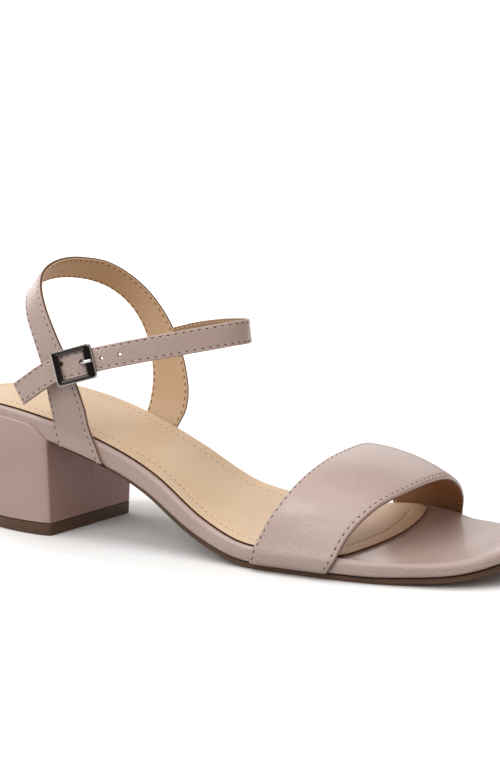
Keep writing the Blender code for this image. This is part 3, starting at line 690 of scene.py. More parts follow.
# Bright metal: the prong's own colour, also laid on the frame's outer edges as a painted
# highlight.
BRIGHT_METAL_AND_HIGHLIGHT = make_metal("bright_metal_and_highlight", (0.42, 0.41, 0.4), (0.52, 0.51, 0.5), 0.08)
MAUVE_THREAD = make_thread("mauve_thread", (190, 164, 154), (222, 204, 194))
TAN_THREAD = make_thread("tan_thread", (214, 184, 146), (234, 210, 174))
NEEDLE_HOLE_SHADE = make_needle_hole_shade("needle_hole_shade", (38, 24, 20), (66, 44, 36))
LINING_NEEDLE_HOLE_SHADE = make_needle_hole_shade("lining_needle_hole_shade", (92, 60, 40), (120, 82, 58))


# Meshes
def make_piece(name, points, faces, materials, kinds=None, sharp=35.0, merge=0.004):
    """A closed mesh from shoe points, its doubles merged and its faces turned out."""
    mesh = bpy.data.meshes.new(name)
    mesh.from_pydata([to_frame(point) for point in points], [], faces)
    for material in materials:
        mesh.materials.append(material)
    if kinds:
        mesh.polygons.foreach_set("material_index", kinds)
    shape = bmesh.new()
    shape.from_mesh(mesh)
    bmesh.ops.remove_doubles(shape, verts=shape.verts, dist=merge * MM)
    bmesh.ops.dissolve_degenerate(shape, edges=shape.edges, dist=0.0005 * MM)
    bmesh.ops.recalc_face_normals(shape, faces=shape.faces)
    shape.to_mesh(mesh)
    shape.free()
    mesh.shade_smooth()
    mesh.set_sharp_from_angle(angle=math.radians(sharp))
    return add_object(name, mesh)


def ride(thing, finish, *nodes):
    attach(thing, "root")
    if nodes:
        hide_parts(*nodes)


def baked(thing, name):
    """The object as its modifiers leave it, as a plain mesh in place of the first."""
    bpy.context.view_layer.update()
    graph = bpy.context.evaluated_depsgraph_get()
    mesh = bpy.data.meshes.new_from_object(thing.evaluated_get(graph), depsgraph=graph)
    bpy.data.objects.remove(thing)
    mesh.name = name
    return add_object(name, mesh)


def combined(thing, other, operation, name):
    """The first object cut by the other or joined with it; the other is used up."""
    change = thing.modifiers.new("combined", "BOOLEAN")
    change.object = other
    change.operation = operation
    change.solver = "EXACT"
    made = baked(thing, name)
    bpy.data.objects.remove(other)
    return made


def ring_faces(first, second, size):
    """The faces between two closed rings of points, given where each ring starts."""
    return [
        (first + i, first + (i + 1) % size, second + (i + 1) % size, second + i)
        for i in range(size)
    ]


def recolour(thing, material, chosen):
    """Gives the faces whose direction is chosen a second material."""
    thing.data.materials.append(material)
    for face in thing.data.polygons:
        if chosen(face.normal):
            face.material_index = 1


def both_sides(line):
    """A line worked out for the outer and for the inner side."""
    return [line(side) for side in (OUTER, INNER)]


def loft(name, rings, material, columns=1, front=None):
    """A closed solid through rings, each a pair of lists from heel to toe. The first
    ring's cap has the given columns, and front adds points between the pair's ends."""
    points, faces = [], []
    count = len(rings[0][0])
    between = len(front(rings[0])) if front else 0
    for ring in rings:
        outer, inner = ring
        points += list(outer) + (front(ring) if front else []) + list(reversed(inner))
    size = 2 * count + between
    for level in range(len(rings) - 1):
        faces += ring_faces(level * size, (level + 1) * size, size)
    for place, start in enumerate((0, (len(rings) - 1) * size)):
        rows = []
        wide = columns if place == 0 else 1
        for i in range(count):
            opposite = start + size - 1 - i
            row = [start + i]
            first, last = points[start + i], points[opposite]
            for column in range(1, wide):
                row.append(len(points))
                points.append(first.lerp(last, column / wide))
            rows.append(row + [opposite])
        for i in range(count - 1):
            for column in range(wide):
                face = (
                    rows[i][column], rows[i + 1][column],
                    rows[i + 1][column + 1], rows[i][column + 1],
                )
                if i == count - 2 and between:
                    middle = [start + count + k for k in range(between)]
                    face = (face[0], face[1], *middle, face[2], face[3])
                faces.append(face)
    return make_piece(name, points, faces, [material])


RIM_WALL_EASE = 1.2
BARE_TOE_FADE = 14.0
BARE_TOE_DEPTH = 0.12
BARE_TOE_INSET = 1.0
TOP_COLUMNS = 12


def make_footbed():
    """The wrapped platform, with a softly rounded rim."""
    edge = curve_between([Vector((step.inset, step.depth)) for step in RIM_TOP_EDGE], 4)
    bare = smooth_rule([TOE_BARE_FROM, TOE_BARE_FROM + BARE_TOE_FADE], [0.0, 1.0])
    soft = smooth_rule(list(TOE_SOFTENS), [0.0, 1.0])

    def top_ring(inset, depth, share):
        """A ring of the rim's top edge, plain and softer where the toe is bare."""
        angle = math.pi / 2 * share
        soft_inset = TOE_EDGE_ROUND * (1.0 - math.sin(angle))
        soft_depth = BARE_TOE_DEPTH + TOE_EDGE_ROUND * (1.0 - math.cos(angle))
        plain = BARE_TOE_DEPTH if inset >= BARE_TOE_INSET else depth

        def placed(side, turn):
            toe = soft(along_at(turn))
            flat = depth + (plain - depth) * bare(along_at(turn))
            point = edge_point(side, turn, -(inset + (soft_inset - inset) * toe))
            return lifted(point, flat + (soft_depth - flat) * toe)

        return both_sides(lambda side: [placed(side, turn) for turn in PLAN_STATIONS])

    def low_ring(inset, above):
        """A ring of the rim's wall, by its height above the underside."""

        def placed(side, turn):
            point = edge_point(side, turn, -inset)
            return lowered(point, RIM_THICKNESS(point.x) - above)

        return both_sides(lambda side: [placed(side, turn) for turn in PLAN_STATIONS])

    last = len(edge) - 1
    rings = [top_ring(step.x, step.y, i / last) for i, step in enumerate(edge)]
    rings.append(low_ring(0.0, RIM_BOTTOM_ROUND + RIM_WALL_EASE))
    rings += [low_ring(*step) for step in quarter_round(RIM_BOTTOM_ROUND, 4)]
    ride(loft("footbed_wrap", rings, MAUVE_LEATHER, TOP_COLUMNS), "mauve_leather", "footbed")


# The sock's stitch line: how far in from the sock's edge it runs
SeamPlace = namedtuple("SeamPlace", "along outer inner")
INSOLE_SEAM = [
    SeamPlace(0.0, 4.6, 4.6),
    SeamPlace(40.0, 5.2, 5.0),
    SeamPlace(70.0, 6.4, 5.6),
    SeamPlace(98.0, 6.8, 6.8),
    SeamPlace(112.0, 5.8, 7.4),
    SeamPlace(126.0, 4.6, 7.6),
    SeamPlace(145.0, 5.2, 6.6),
    SeamPlace(180.0, 5.3, 5.3),
]
OUTER_SEAM = rule(INSOLE_SEAM, "outer")
INNER_SEAM = rule(INSOLE_SEAM, "inner")
FRONT_SEAM = 5.3
INSOLE_SEAM_DEPTH = 0.22
INSOLE_SWELL = 0.15
SOCK_EDGE = (0.3, 0.9, 1.8, 2.8)
SOCK_SWELLS_OVER = 1.5
SOCK_LIP = (Step(0.14, 0.04), Step(0.0, 0.17))
SOCK_SEAM = (-0.9, -0.5, -0.25, 0.0, 0.25, 0.5, 1.0, 2.2)
SOCK_SEAM_SPREAD = 0.45
SOCK_FRONT_STEPS = 40
SOCK_EDGE_LEAN = 0.55


def insole_ring(inset, from_seam, depth):
    """A line round the sock, in from its edge or, with from_seam, from its seam."""
    corner_turn = turn_at(INSOLE_CORNER_ALONG)
    front_inset = inset + FRONT_SEAM if from_seam else inset

    def line(side):
        seam = OUTER_SEAM if side == OUTER else INNER_SEAM

        def place(turn):
            extra = seam(along_at(turn)) if from_seam else 0.0
            return edge_point(side, turn, -INSOLE_INSET - (inset + extra))

        plan = [place(turn) for turn in PLAN_STATIONS if turn < corner_turn]
        half = place(corner_turn).y
        for i in range(SOCK_FRONT_STEPS + 1):
            share = math.sin(math.pi / 2 * (1.0 - i / SOCK_FRONT_STEPS))
            rounding = max(share - INSOLE_CORNER_FROM, 0.0) / (1.0 - INSOLE_CORNER_FROM)
            along = (
                INSOLE_FRONT_ALONG - front_inset
                - INSOLE_FRONT_BOW * share ** 2
                - INSOLE_CORNER_CUT * rounding ** 2
            )
            plan.append(Vector((along, half * share)))
        return [lifted(point, depth) for point in plan]

    return both_sides(line)


def make_insole():
    """The tan sock, with a pressed stitch line and a dark cut edge."""
    bottom = RIM_TOP_EDGE[0].depth - CLEAR
    top = bottom - INSOLE_THICKNESS
    rings = []
    for shift in reversed(SOCK_SEAM):
        near = shift / SOCK_SEAM_SPREAD
        press = INSOLE_SEAM_DEPTH * math.exp(-near * near)
        rings.append(insole_ring(shift, True, top + press - INSOLE_SWELL))
    for inset in reversed(SOCK_EDGE):
        swell = INSOLE_SWELL * min((inset - SOCK_EDGE[0]) / SOCK_SWELLS_OVER, 1.0)
        rings.append(insole_ring(inset, False, top - swell))
    rings += [insole_ring(step.inset, False, top + step.depth) for step in SOCK_LIP]
    rings.append(insole_ring(0.0, False, bottom))
    thing = loft("insole_sock", rings, TAN_SOCK, TOP_COLUMNS)
    recolour(thing, EDGE_PAINT_AND_SHADE, lambda way: abs(way.z) < SOCK_EDGE_LEAN)
    ride(thing, "tan_sock", "insole")


SOLE_GROOVE_DEPTH = 0.8
SOLE_GROOVE_HEIGHT = 0.5
SOLE_GROOVE_SLOPE = 0.2
SOLE_WALL_MIDDLE = 1.4
SOLE_EDGE_ROUND = 0.5
SOLE_STEPS = 150
SOLE_SHARE = smooth_rule([56.0, 85.0, 110.0, 140.0], [0.4, 0.5, 0.8, 1.0])


def make_outsole():
    """The brown sole, with a shadow groove under the rim and an eased lower edge."""

    def ring(inset, depth):
        def line(side):
            corner = HEEL_OUTER_CORNER if side == OUTER else HEEL_INNER_CORNER
            first = turn_at(corner + OUTSOLE_BACK_GAP)
            turns = [first + (math.pi - first) * i / SOLE_STEPS for i in range(SOLE_STEPS + 1)]
            plan = [edge_point(side, turn, -inset) for turn in turns]
            return [
                lowered(point, RIM_THICKNESS(point.x) + CLEAR + depth * SOLE_SHARE(point.x))
                for point in plan
            ]

        return both_sides(line)

    groove = OUTSOLE_INSET + SOLE_GROOVE_DEPTH
    section = [
        (groove, 0.0), (groove, SOLE_GROOVE_HEIGHT - SOLE_GROOVE_SLOPE),
        (OUTSOLE_INSET, SOLE_GROOVE_HEIGHT), (OUTSOLE_INSET, SOLE_WALL_MIDDLE),
    ]
    section += [
        (OUTSOLE_INSET + inset, OUTSOLE_THICKNESS - rise)
        for inset, rise in quarter_round(SOLE_EDGE_ROUND, 4)
    ]
    ride(loft("sole", [ring(*step) for step in section], BROWN_SOLE), "brown_sole", "outsole")


HEEL_STEPS = 44
CORNER_SHARES = (0.15, 0.3, 0.45, 0.6, 0.75, 0.9)


def heel_side(side, height, outset):
    """One half of the heel's outline at a height, from its back to its breast."""
    corner = HEEL_OUTER_CORNER if side == OUTER else HEEL_INNER_CORNER
    foot_half = HEEL_FOOT_OUTER if side == OUTER else HEEL_FOOT_INNER
    middle = (HEEL_OUTER_CORNER + HEEL_INNER_CORNER) / 2
    rise = min(height / HEEL_TAPER_HEIGHT, 1.0)

    def wall(share):
        angle = share * math.pi / 2
        depth = corner - HEEL_FOOT_BACK
        foot = Vector((corner - depth * math.cos(angle), side * foot_half * math.sin(angle)))
        top = edge_point(side, turn_at(corner) * share, CLEAR + HEEL_COVER)
        return foot.lerp(top, rise)

    nudge = 0.01
    plan = []
    for i in range(HEEL_STEPS + 1):
        share = HEEL_CORNER_FROM * i / HEEL_STEPS
        tangent = (wall(share + nudge) - wall(max(share - nudge, 0.0))).normalized()
        if i == 0:
            tangent = Vector((0.0, side))
        outward = Vector((-side * tangent.y, side * tangent.x))
        plan.append(wall(share) + outward * outset)
    tip = wall(1.0) + Vector((0.0, side * outset))
    breast = Vector((middle - corner, -tip.y)).normalized()
    start, end = plan[-1], tip + breast * HEEL_CORNER_ROUND
    for share in CORNER_SHARES:
        plan.append(start.lerp(tip, share).lerp(tip.lerp(end, share), share))
    plan.append(end)
    return plan


def heel_ring(height, inset=0.0):
    """A level ring round the heel or its top lift."""
    return both_sides(
        lambda side: [Vector((p.x, p.y, height)) for p in heel_side(side, height, -inset)]
    )


def cup_shares(plan):
    """How much of the cup's height is left at each point towards the corner."""
    end = max(point.x for point in plan)
    nears = [(point.x - end + HEEL_CUP_ROUND) / HEEL_CUP_ROUND for point in plan]
    return [1.0 - min(max(near, 0.0), 1.0) ** HEEL_CUP_FALL for near in nears]


BREAST_SHARES = (0.12, 0.25, 0.38, 0.46)
BREAST_SEAM_HALF = 0.3
BREAST_SEAM_DEPTH = 0.45
BREAST_SEAM_LIP = 0.05


def breast_points(ring):
    """Points across the heel's breast, with the cover's seam down its middle."""
    first, last = ring[0][-1], ring[1][-1]
    line = last - first
    out = Vector((line.y, -line.x, 0.0)).normalized()
    half = BREAST_SEAM_HALF / line.length
    steps = [(share, 0.0) for share in BREAST_SHARES]
    steps += [(0.5 - 2.5 * half, BREAST_SEAM_LIP), (0.5 - half, 0.0)]
    mirrored = [(1.0 - share, raised) for share, raised in reversed(steps)]
    steps += [(0.5, -BREAST_SEAM_DEPTH)] + mirrored
    return [first.lerp(last, share) + out * raised for share, raised in steps]


HEEL_EASE = 0.25
HEEL_LEVELS = range(10, 40, 5)
CUP_LEVELS = (0.0, 0.35, 0.7)
BREAST_FACES_TOE = 0.8


def make_heel():
    """The covered block: it tapers to the floor and cups the rim's outside."""

    def rim_ring(inset, cup, shift):
        def line(side):
            plan = heel_side(side, HEEL_TAPER_HEIGHT, -inset)
            return [
                Vector((p.x, p.y, height_below_rim(p.x, CLEAR) + cup * share + shift))
                for p, share in zip(plan, cup_shares(plan))
            ]

        return both_sides(line)

    bottom = LIFT_THICKNESS + CLEAR
    cup = HEEL_CUP + CLEAR
    rings = [heel_ring(bottom, HEEL_EASE), heel_ring(bottom + HEEL_EASE)]
    rings += [heel_ring(height) for height in HEEL_LEVELS]
    rings += [
        rim_ring(0.0, cup * share, -3 * HEEL_LIP_ROUND * (1.0 - share)) for share in CUP_LEVELS
    ]
    rings += [rim_ring(inset, cup, -drop) for inset, drop in quarter_round(HEEL_LIP_ROUND, 5)]
    rings += [rim_ring(HEEL_COVER, cup, 0.0), rim_ring(HEEL_COVER, 0.0, 0.0)]
    thing = loft("heel_cover", rings, HEEL_LEATHER, front=breast_points)
    # Faces turned towards the toe take the darker breast leather, a painted shade.
    recolour(thing, SHADED_BREAST_LEATHER, lambda way: way.x > BREAST_FACES_TOE)
    ride(thing, "mauve_leather", "heel_block")


Level = namedtuple("Level", "height inset")
LIFT_SECTION = (
    Level(0.0, 0.35), Level(0.1, 0.12), Level(0.35, 0.0), Level(1.6, 0.0),
    Level(3.2, 0.0), Level(LIFT_THICKNESS - 0.2, 0.0), Level(LIFT_THICKNESS, 0.15),
)


def make_top_lift():
    """The brown walking piece under the heel, flat on the floor."""
    rings = [heel_ring(level.height, level.inset) for level in LIFT_SECTION]
    ride(loft("heel_lift", rings, BROWN_SOLE), "brown_sole", "top_lift")


# Straps: a fine shell with a rounded leather edge, painted cut edge and lining
PLACES_AT_EDGE = (0.0, 0.07, 0.2, 0.38)
PLACES_AT_SEAM = (-0.46, -0.3, -0.15, 0.0, 0.15, 0.3, 0.6, 1.1, 1.8)
SEAM_COLUMN = len(PLACES_AT_EDGE) + PLACES_AT_SEAM.index(0.0)
SEAM_COLUMNS = (SEAM_COLUMN, -1 - SEAM_COLUMN)
TUCK_STEPS = 4
# How many lines at each strap end are painted dark: painted shade under the rim.
PAINTED_SHADE_LINES = 9
LINING_PRESS = 0.6


def places_near(seam):
    """Distances in from a strap's edge: close together at the edge and the seam."""
    return list(PLACES_AT_EDGE) + [seam + shift for shift in PLACES_AT_SEAM]


def shares_across(width, first_seam, last_seam, middle):
    """Places across a strap: close together near both edges, even between them."""
    first = [place / width for place in places_near(first_seam)]
    last = [1.0 - place / width for place in places_near(last_seam)]
    gap = last[-1] - first[-1]
    inside = [first[-1] + gap * i / (middle + 1) for i in range(1, middle + 1)]
    return first + inside + last[::-1]


def foot_line(side, foot, tuck, shares_of, turn):
    """One line of a strap's tucked end, under the rim or up its wall."""

    def placed(share):
        if tuck is None:
            along = foot.front_top + (foot.back_top - foot.front_top) * share
            point = edge_point(side, turn_at(along), STRAP_OFFSET)
            return lifted(point, STRAP_LEAVES_RIM)
        up = max(-tuck.below, 0.0) / (RIM_THICKNESS(foot.front_under) - STRAP_LEAVES_RIM)
        front = foot.front_under + (foot.front_top - foot.front_under) * up
        back = foot.back_under + (foot.back_top - foot.back_under) * up
        point = edge_point(side, turn_at(front + (back - front) * share), -tuck.inset)
        return lowered(point, RIM_THICKNESS(point.x) + tuck.below)

    width = (placed(1.0) - placed(0.0)).length
    return [placed(share) for share in shares_of(width, turn)]


def band_line(row, shares_of, turn):
    front = Vector((row.front_along, row.front_side, row.front_height))
    back = Vector((row.back_along, row.back_side, row.back_height))
    return [front.lerp(back, share) for share in shares_of((back - front).length, turn)]


def strap_lines(rows, feet, edge, middle, steps):
    """A strap's fine lines across, how full each is, and which of them are seen."""

    def shares_of(width, turn):
        seam = edge.first_seam + (edge.far_seam - edge.first_seam) * min(2.0 * turn, 1.0)
        return shares_across(width, seam, edge.last_seam, middle)

    def smooth(lines, count):
        columns = [curve_between(list(column), count) for column in zip(*lines)]
        return [list(line) for line in zip(*columns)]

    sides = list(zip((OUTER, INNER), feet, (0.0, 1.0)))
    tops = [foot_line(side, foot, None, shares_of, turn) for side, foot, turn in sides]
    tucks = [
        [foot_line(side, foot, tuck, shares_of, turn) for tuck in TUCK]
        for side, foot, turn in sides
    ]
    turns = [(i + 1) / (len(rows) + 1) for i in range(len(rows))]
    bands = [band_line(row, shares_of, turn) for row, turn in zip(rows, turns)]
    start = smooth(tucks[0] + [tops[0]], TUCK_STEPS)
    end = smooth(tucks[1] + [tops[1]], TUCK_STEPS)[::-1]
    full = smooth([tops[0]] + bands + [tops[1]], steps)
    lines = start[:-1] + full + end[1:]
    thicknesses = [Vector((tuck.thickness, 0.0)) for tuck in TUCK] + [Vector((1.0, 0.0))]
    ends = [value.x for value in curve_between(thicknesses, TUCK_STEPS)][:-1]
    fullness = ends + [1.0] * len(full) + ends[::-1]
    hidden = TUCK_STEPS * (len(TUCK) - 2)
    return lines, fullness, range(hidden, len(lines) - hidden)


def edge_drop(distance, radius):
    """How far a rounded edge falls away at a distance in from it."""
    if distance >= radius:
        return 0.0
    return radius - math.sqrt(max(radius ** 2 - (radius - distance) ** 2, 0.0))


def seam_press(from_seam):
    near = from_seam / SEAM_SPREAD
    return SEAM_DEPTH * math.exp(-near * near)


def surface_normals(lines):
    count, width = len(lines), len(lines[0])
    normals = []
    for row in range(count):
        before, after = lines[max(row - 1, 0)], lines[min(row + 1, count - 1)]
        made = []
        for column in range(width):
            along = after[column] - before[column]
            low, high = max(column - 1, 0), min(column + 1, width - 1)
            across = lines[row][high] - lines[row][low]
            made.append(along.cross(across).normalized())
        normals.append(made)
    return normals


def lengths_along(lines):
    """How far each line lies from the first, down the strap's middle."""
    middle = len(lines[0]) // 2
    lengths = [0.0]
    for before, after in zip(lines, lines[1:]):
        lengths.append(lengths[-1] + (after[middle] - before[middle]).length)
    return lengths


Strap = namedtuple("Strap", "outer inner normals")


def make_strap(
    name, lines, fullness, edge, cut_ends=False, relief=None, inside=TAN_LINING, painted_shade_lines=0
):
    """A closed strap about its middle surface. With cut_ends both its ends are rounded
    and seamed, and painted_shade_lines counts the lines at both ends painted dark as shade under
    the rim."""
    normals = surface_normals(lines)
    count, width = len(lines), len(lines[0])
    half = STRAP_THICKNESS / 2
    lengths = lengths_along(lines)
    outer, inner, sides = [], [], []
    for row in range(count):
        line, full = lines[row], fullness[row]
        from_ends = [lengths[row], lengths[-1] - lengths[row]] if cut_ends else []
        outer_row, inner_row, side_row = [], [], []
        for column in range(width):
            normal = normals[row][column]
            place = line[column]
            across = (line[-1] - line[0]).length
            gaps = [(place - line[0]).length, (place - line[-1]).length] + from_ends
            seams = [(place - line[i]).length for i in SEAM_COLUMNS]
            seams += [gap - edge.last_seam for gap in from_ends]
            near = min(gaps)
            press = max(seam_press(gap) for gap in seams)
            if relief:
                place = place + normal * relief(lengths[row] / lengths[-1], gaps[0] / across)
            top = half - edge_drop(near, edge.leather_round) - press
            bottom = -half + edge_drop(near, LINING_EDGE_ROUND) + press * LINING_PRESS
            outer_row.append(place + normal * top * full)
            inner_row.append(place + normal * bottom * full)
            side_row.append((
                place + normal * edge.paint_high * full, place + normal * edge.paint_low * full
            ))
        outer.append(outer_row)
        inner.append(inner_row)
        sides.append(side_row)
    points, faces, kinds = [], [], []
    leather, paint, lining = 0, 1, 2
    size = 2 * width + 4
    for row in range(count):
        back, front = sides[row][-1], sides[row][0]
        points += outer[row] + [back[0], back[1]] + inner[row][::-1] + [front[1], front[0]]
    round_kinds = [leather] * width + [paint] + [lining] * (width + 1) + [paint, leather]
    for row in range(count - 1):
        faces += ring_faces(row * size, (row + 1) * size, size)
        # The end lines take the dark edge paint as painted shade where the strap tucks under the
        # rim.
        under = row < painted_shade_lines or row >= count - 1 - painted_shade_lines
        kinds += [paint] * size if under else round_kinds
    for row in (0, count - 1):
        start = row * size
        levels = []
        for column in range(width):
            top, bottom = start + column, start + width + 2 + width - 1 - column
            if column == 0:
                upper, lower = start + size - 1, start + size - 2
            elif column == width - 1:
                upper, lower = start + width, start + width + 1
            else:
                upper, lower = len(points), len(points) + 1
                points += list(sides[row][column])
            levels.append((top, upper, lower, bottom))
        for column in range(width - 1):
            for level, kind in enumerate((leather, paint, lining)):
                faces.append((
                    levels[column][level], levels[column + 1][level],
                    levels[column + 1][level + 1], levels[column][level + 1],
                ))
                kinds.append(kind)
    materials = [MAUVE_LEATHER, EDGE_PAINT_AND_SHADE, inside]
    thing = make_piece(name, points, faces, materials, kinds, 50.0, 0.002)
    return thing, Strap(outer, inner, normals)


# Stitches: Geometry Nodes set threads and needle holes along a seam line; the needle holes are
# dark beads of painted shade
Stitch = namedtuple("Stitch", "parity length width height sink")
THREAD = Stitch(0, 1.9, 0.5, 0.42, 0.0)
HOLE = Stitch(1, 1.25, 0.62, 0.24, 0.0)
SMALL_HOLE = Stitch(1, 1.1, 0.52, 0.24, 0.0)
LINING_THREAD = Stitch(0, 1.6, 0.42, 0.34, -0.02)
LINING_HOLE = Stitch(1, 1.4, 0.52, 0.22, -0.01)
INSOLE_THREAD = Stitch(0, 2.0, 0.42, 0.3, 0.03)
INSOLE_HOLE = Stitch(1, 1.0, 0.55, 0.2, 0.0)
STITCH_INPUTS = {
    "Seam": "Geometry", "Pitch": "Float", "Parity": "Int",
    "Size": "Vector", "Lift": "Float", "Material": "Material",
}


def make_stitch_tree():
    """A bead at every second place of a seam, turned along it and outwards."""
    tree = bpy.data.node_groups.new("stitch_row", "GeometryNodeTree")
    tree.is_modifier = True
    for name, kind in STITCH_INPUTS.items():
        tree.interface.new_socket(name, in_out="INPUT", socket_type="NodeSocket" + kind)
    tree.interface.new_socket("Stitches", in_out="OUTPUT", socket_type="NodeSocketGeometry")
    node = Nodes(tree).node
    given = node("NodeGroupInput").outputs
    spacing = node("ShaderNodeMath", {"operation": "DIVIDE"}, {0: given["Pitch"], 1: 2.0})
    curve = node("GeometryNodeMeshToCurve", {}, {"Mesh": given["Seam"]})
    places = node("GeometryNodeResampleCurve", {"mode": "LENGTH"}, {
        "Curve": curve.outputs[0], "Length": spacing.outputs[0],
    })
    outwards = node("GeometryNodeInputNamedAttribute", {"data_type": "FLOAT_VECTOR"}, {
        "Name": "outwards",
    }).outputs["Attribute"]
    lift = node("ShaderNodeVectorMath", {"operation": "SCALE"}, {
        "Vector": outwards, "Scale": given["Lift"],
    })
    moved = node("GeometryNodeSetPosition", {}, {
        "Geometry": places.outputs[0], "Offset": lift.outputs[0],
    })
    index = node("GeometryNodeInputIndex").outputs[0]
    half = node("ShaderNodeMath", {"operation": "MODULO"}, {0: index, 1: 2.0})
    chosen = node("FunctionNodeCompare", {"data_type": "INT", "operation": "EQUAL"}, {
        2: half.outputs[0], 3: given["Parity"],
    })
    turn = node("FunctionNodeAxesToRotation", {"primary_axis": "Z", "secondary_axis": "X"}, {
        "Primary Axis": outwards,
        "Secondary Axis": node("GeometryNodeInputTangent").outputs[0],
    })
    bead = node("GeometryNodeMeshUVSphere", {}, {"Segments": 8, "Rings": 4, "Radius": 0.5})
    beads = node("GeometryNodeInstanceOnPoints", {}, {
        "Points": moved.outputs[0], "Selection": chosen.outputs[0],
        "Instance": bead.outputs["Mesh"], "Rotation": turn.outputs[0], "Scale": given["Size"],
    })
    solid = node("GeometryNodeRealizeInstances", {}, {"Geometry": beads.outputs[0]})
    smooth = node("GeometryNodeSetShadeSmooth", {}, {"Geometry": solid.outputs[0]})
    finished = node("GeometryNodeSetMaterial", {}, {
        "Geometry": smooth.outputs[0], "Material": given["Material"],
    })
    node("NodeGroupOutput", {}, {"Stitches": finished.outputs[0]})
    return tree


STITCH_TREE = make_stitch_tree()


def sew(name, seams, stitch, material, finish, pitch=STITCH_PITCH):
    """Threads or needle holes along seams, each a list of (place, outwards)."""
    points, edges, outwards = [], [], []
    for seam in seams:
        first = len(points)
        for place, out in seam:
            points.append(to_frame(place))
            outwards += list(out.normalized())
        edges += [(i, i + 1) for i in range(first, len(points) - 1)]
    mesh = bpy.data.meshes.new(name)
    mesh.from_pydata(points, edges, [])
    mesh.attributes.new("outwards", "FLOAT_VECTOR", "POINT").data.foreach_set("vector", outwards)
    holder = add_object(name, mesh)
    modifier = holder.modifiers.new("stitches", "NODES")
    modifier.node_group = STITCH_TREE
    values = {
        "Pitch": pitch * MM,
        "Parity": stitch.parity,
        "Size": (stitch.length * MM, stitch.width * MM, stitch.height * MM),
        "Lift": -stitch.sink * MM,
        "Material": material,
    }
    for item in STITCH_TREE.interface.items_tree:
        if item.name in values:
            modifier[item.identifier] = values[item.name]
    ride(baked(holder, name), finish)


def seam_line(strap, path, inside=False):
    """A seam on a strap's leather or its lining; its path is rows and columns."""
    surface = strap.inner if inside else strap.outer
    side = -1.0 if inside else 1.0
    return [(surface[row][column], strap.normals[row][column] * side) for row, column in path]


def sew_strap(name, strap, paths, hole, pitch=STITCH_PITCH, lining_hole_shades=True):
    """A strap's seams, seen on its leather and on its lining."""
    leather = [seam_line(strap, path) for path in paths]
    lining = [seam_line(strap, path, True) for path in paths]
    sew(name + "_thread", leather, THREAD, MAUVE_THREAD, "mauve_leather", pitch)
    sew(name + "_needle_hole_shades", leather, hole, NEEDLE_HOLE_SHADE, "mauve_leather", pitch)
    sew(name + "_lining_thread", lining, LINING_THREAD, TAN_THREAD, "tan_sock", pitch)
    if lining_hole_shades:
        hole_shades_name = name + "_lining_needle_hole_shades"
        sew(hole_shades_name, lining, LINING_HOLE, LINING_NEEDLE_HOLE_SHADE, "tan_sock", pitch)


def long_seams(rows):
    """The paths of the two seams that run down a strap's edges."""
    return [[(row, column) for row in rows] for column in SEAM_COLUMNS]


VAMP_CROWN = 2.2
VAMP_BEND = 1.1
VAMP_BEND_AT = 0.17
VAMP_BEND_SPREAD = 0.07


def vamp_relief(along, across):
    """How far the vamp swells between its edges: over the toes, and where it bends in."""
    near = (along - VAMP_BEND_AT) / VAMP_BEND_SPREAD
    swell = VAMP_CROWN * math.sin(math.pi * along ** 1.45) + VAMP_BEND * math.exp(-near * near)
    return swell * math.sin(math.pi * across) ** 0.8


def make_vamp():
    lines, fullness, visible = strap_lines(VAMP, VAMP_FEET, FOLDED_VAMP, 14, 8)
    thing, strap = make_strap(
        "vamp", lines, fullness, FOLDED_VAMP, relief=vamp_relief, inside=SHADED_VAMP_LINING,
        painted_shade_lines=PAINTED_SHADE_LINES,
    )
    ride(thing, "mauve_leather", "vamp_strap")
    sew_strap("vamp", strap, long_seams(visible), HOLE)


def make_heel_strap():
    edge = PAINTED_HEEL_STRAP
    lines, fullness, visible = strap_lines(HEEL_STRAP, HEEL_STRAP_FEET, edge, 4, 6)
    thing, strap = make_strap("heel_strap", lines, fullness, edge, painted_shade_lines=PAINTED_SHADE_LINES + 3)
    ride(thing, "mauve_leather", "heel_and_ankle_strap")
    sew_strap("heel_strap", strap, long_seams(visible), SMALL_HOLE)


def buckle_axes():
    """The buckle's own directions: along the strap, across it, and outwards."""
    level = Vector((math.cos(BUCKLE_YAW), math.sin(BUCKLE_YAW), 0.0))
    along = level * math.cos(BUCKLE_RISE) + Vector((0.0, 0.0, math.sin(BUCKLE_RISE)))
    upright = Vector((0.0, 0.0, math.cos(BUCKLE_RISE))) - level * math.sin(BUCKLE_RISE)
    inward = Vector((-math.sin(BUCKLE_YAW), math.cos(BUCKLE_YAW), 0.0))
    lean = math.radians(BUCKLE_LEAN)
    across = upright * math.cos(lean) + inward * math.sin(lean)
    return along, across, along.cross(across)


BUCKLE_ALONG, BUCKLE_ACROSS, BUCKLE_OUT = buckle_axes()


def from_buckle(along, across, out):
    """A place in the buckle's own directions as a place on the shoe."""
    return BUCKLE_PLACE + BUCKLE_ALONG * along + BUCKLE_ACROSS * across + BUCKLE_OUT * out


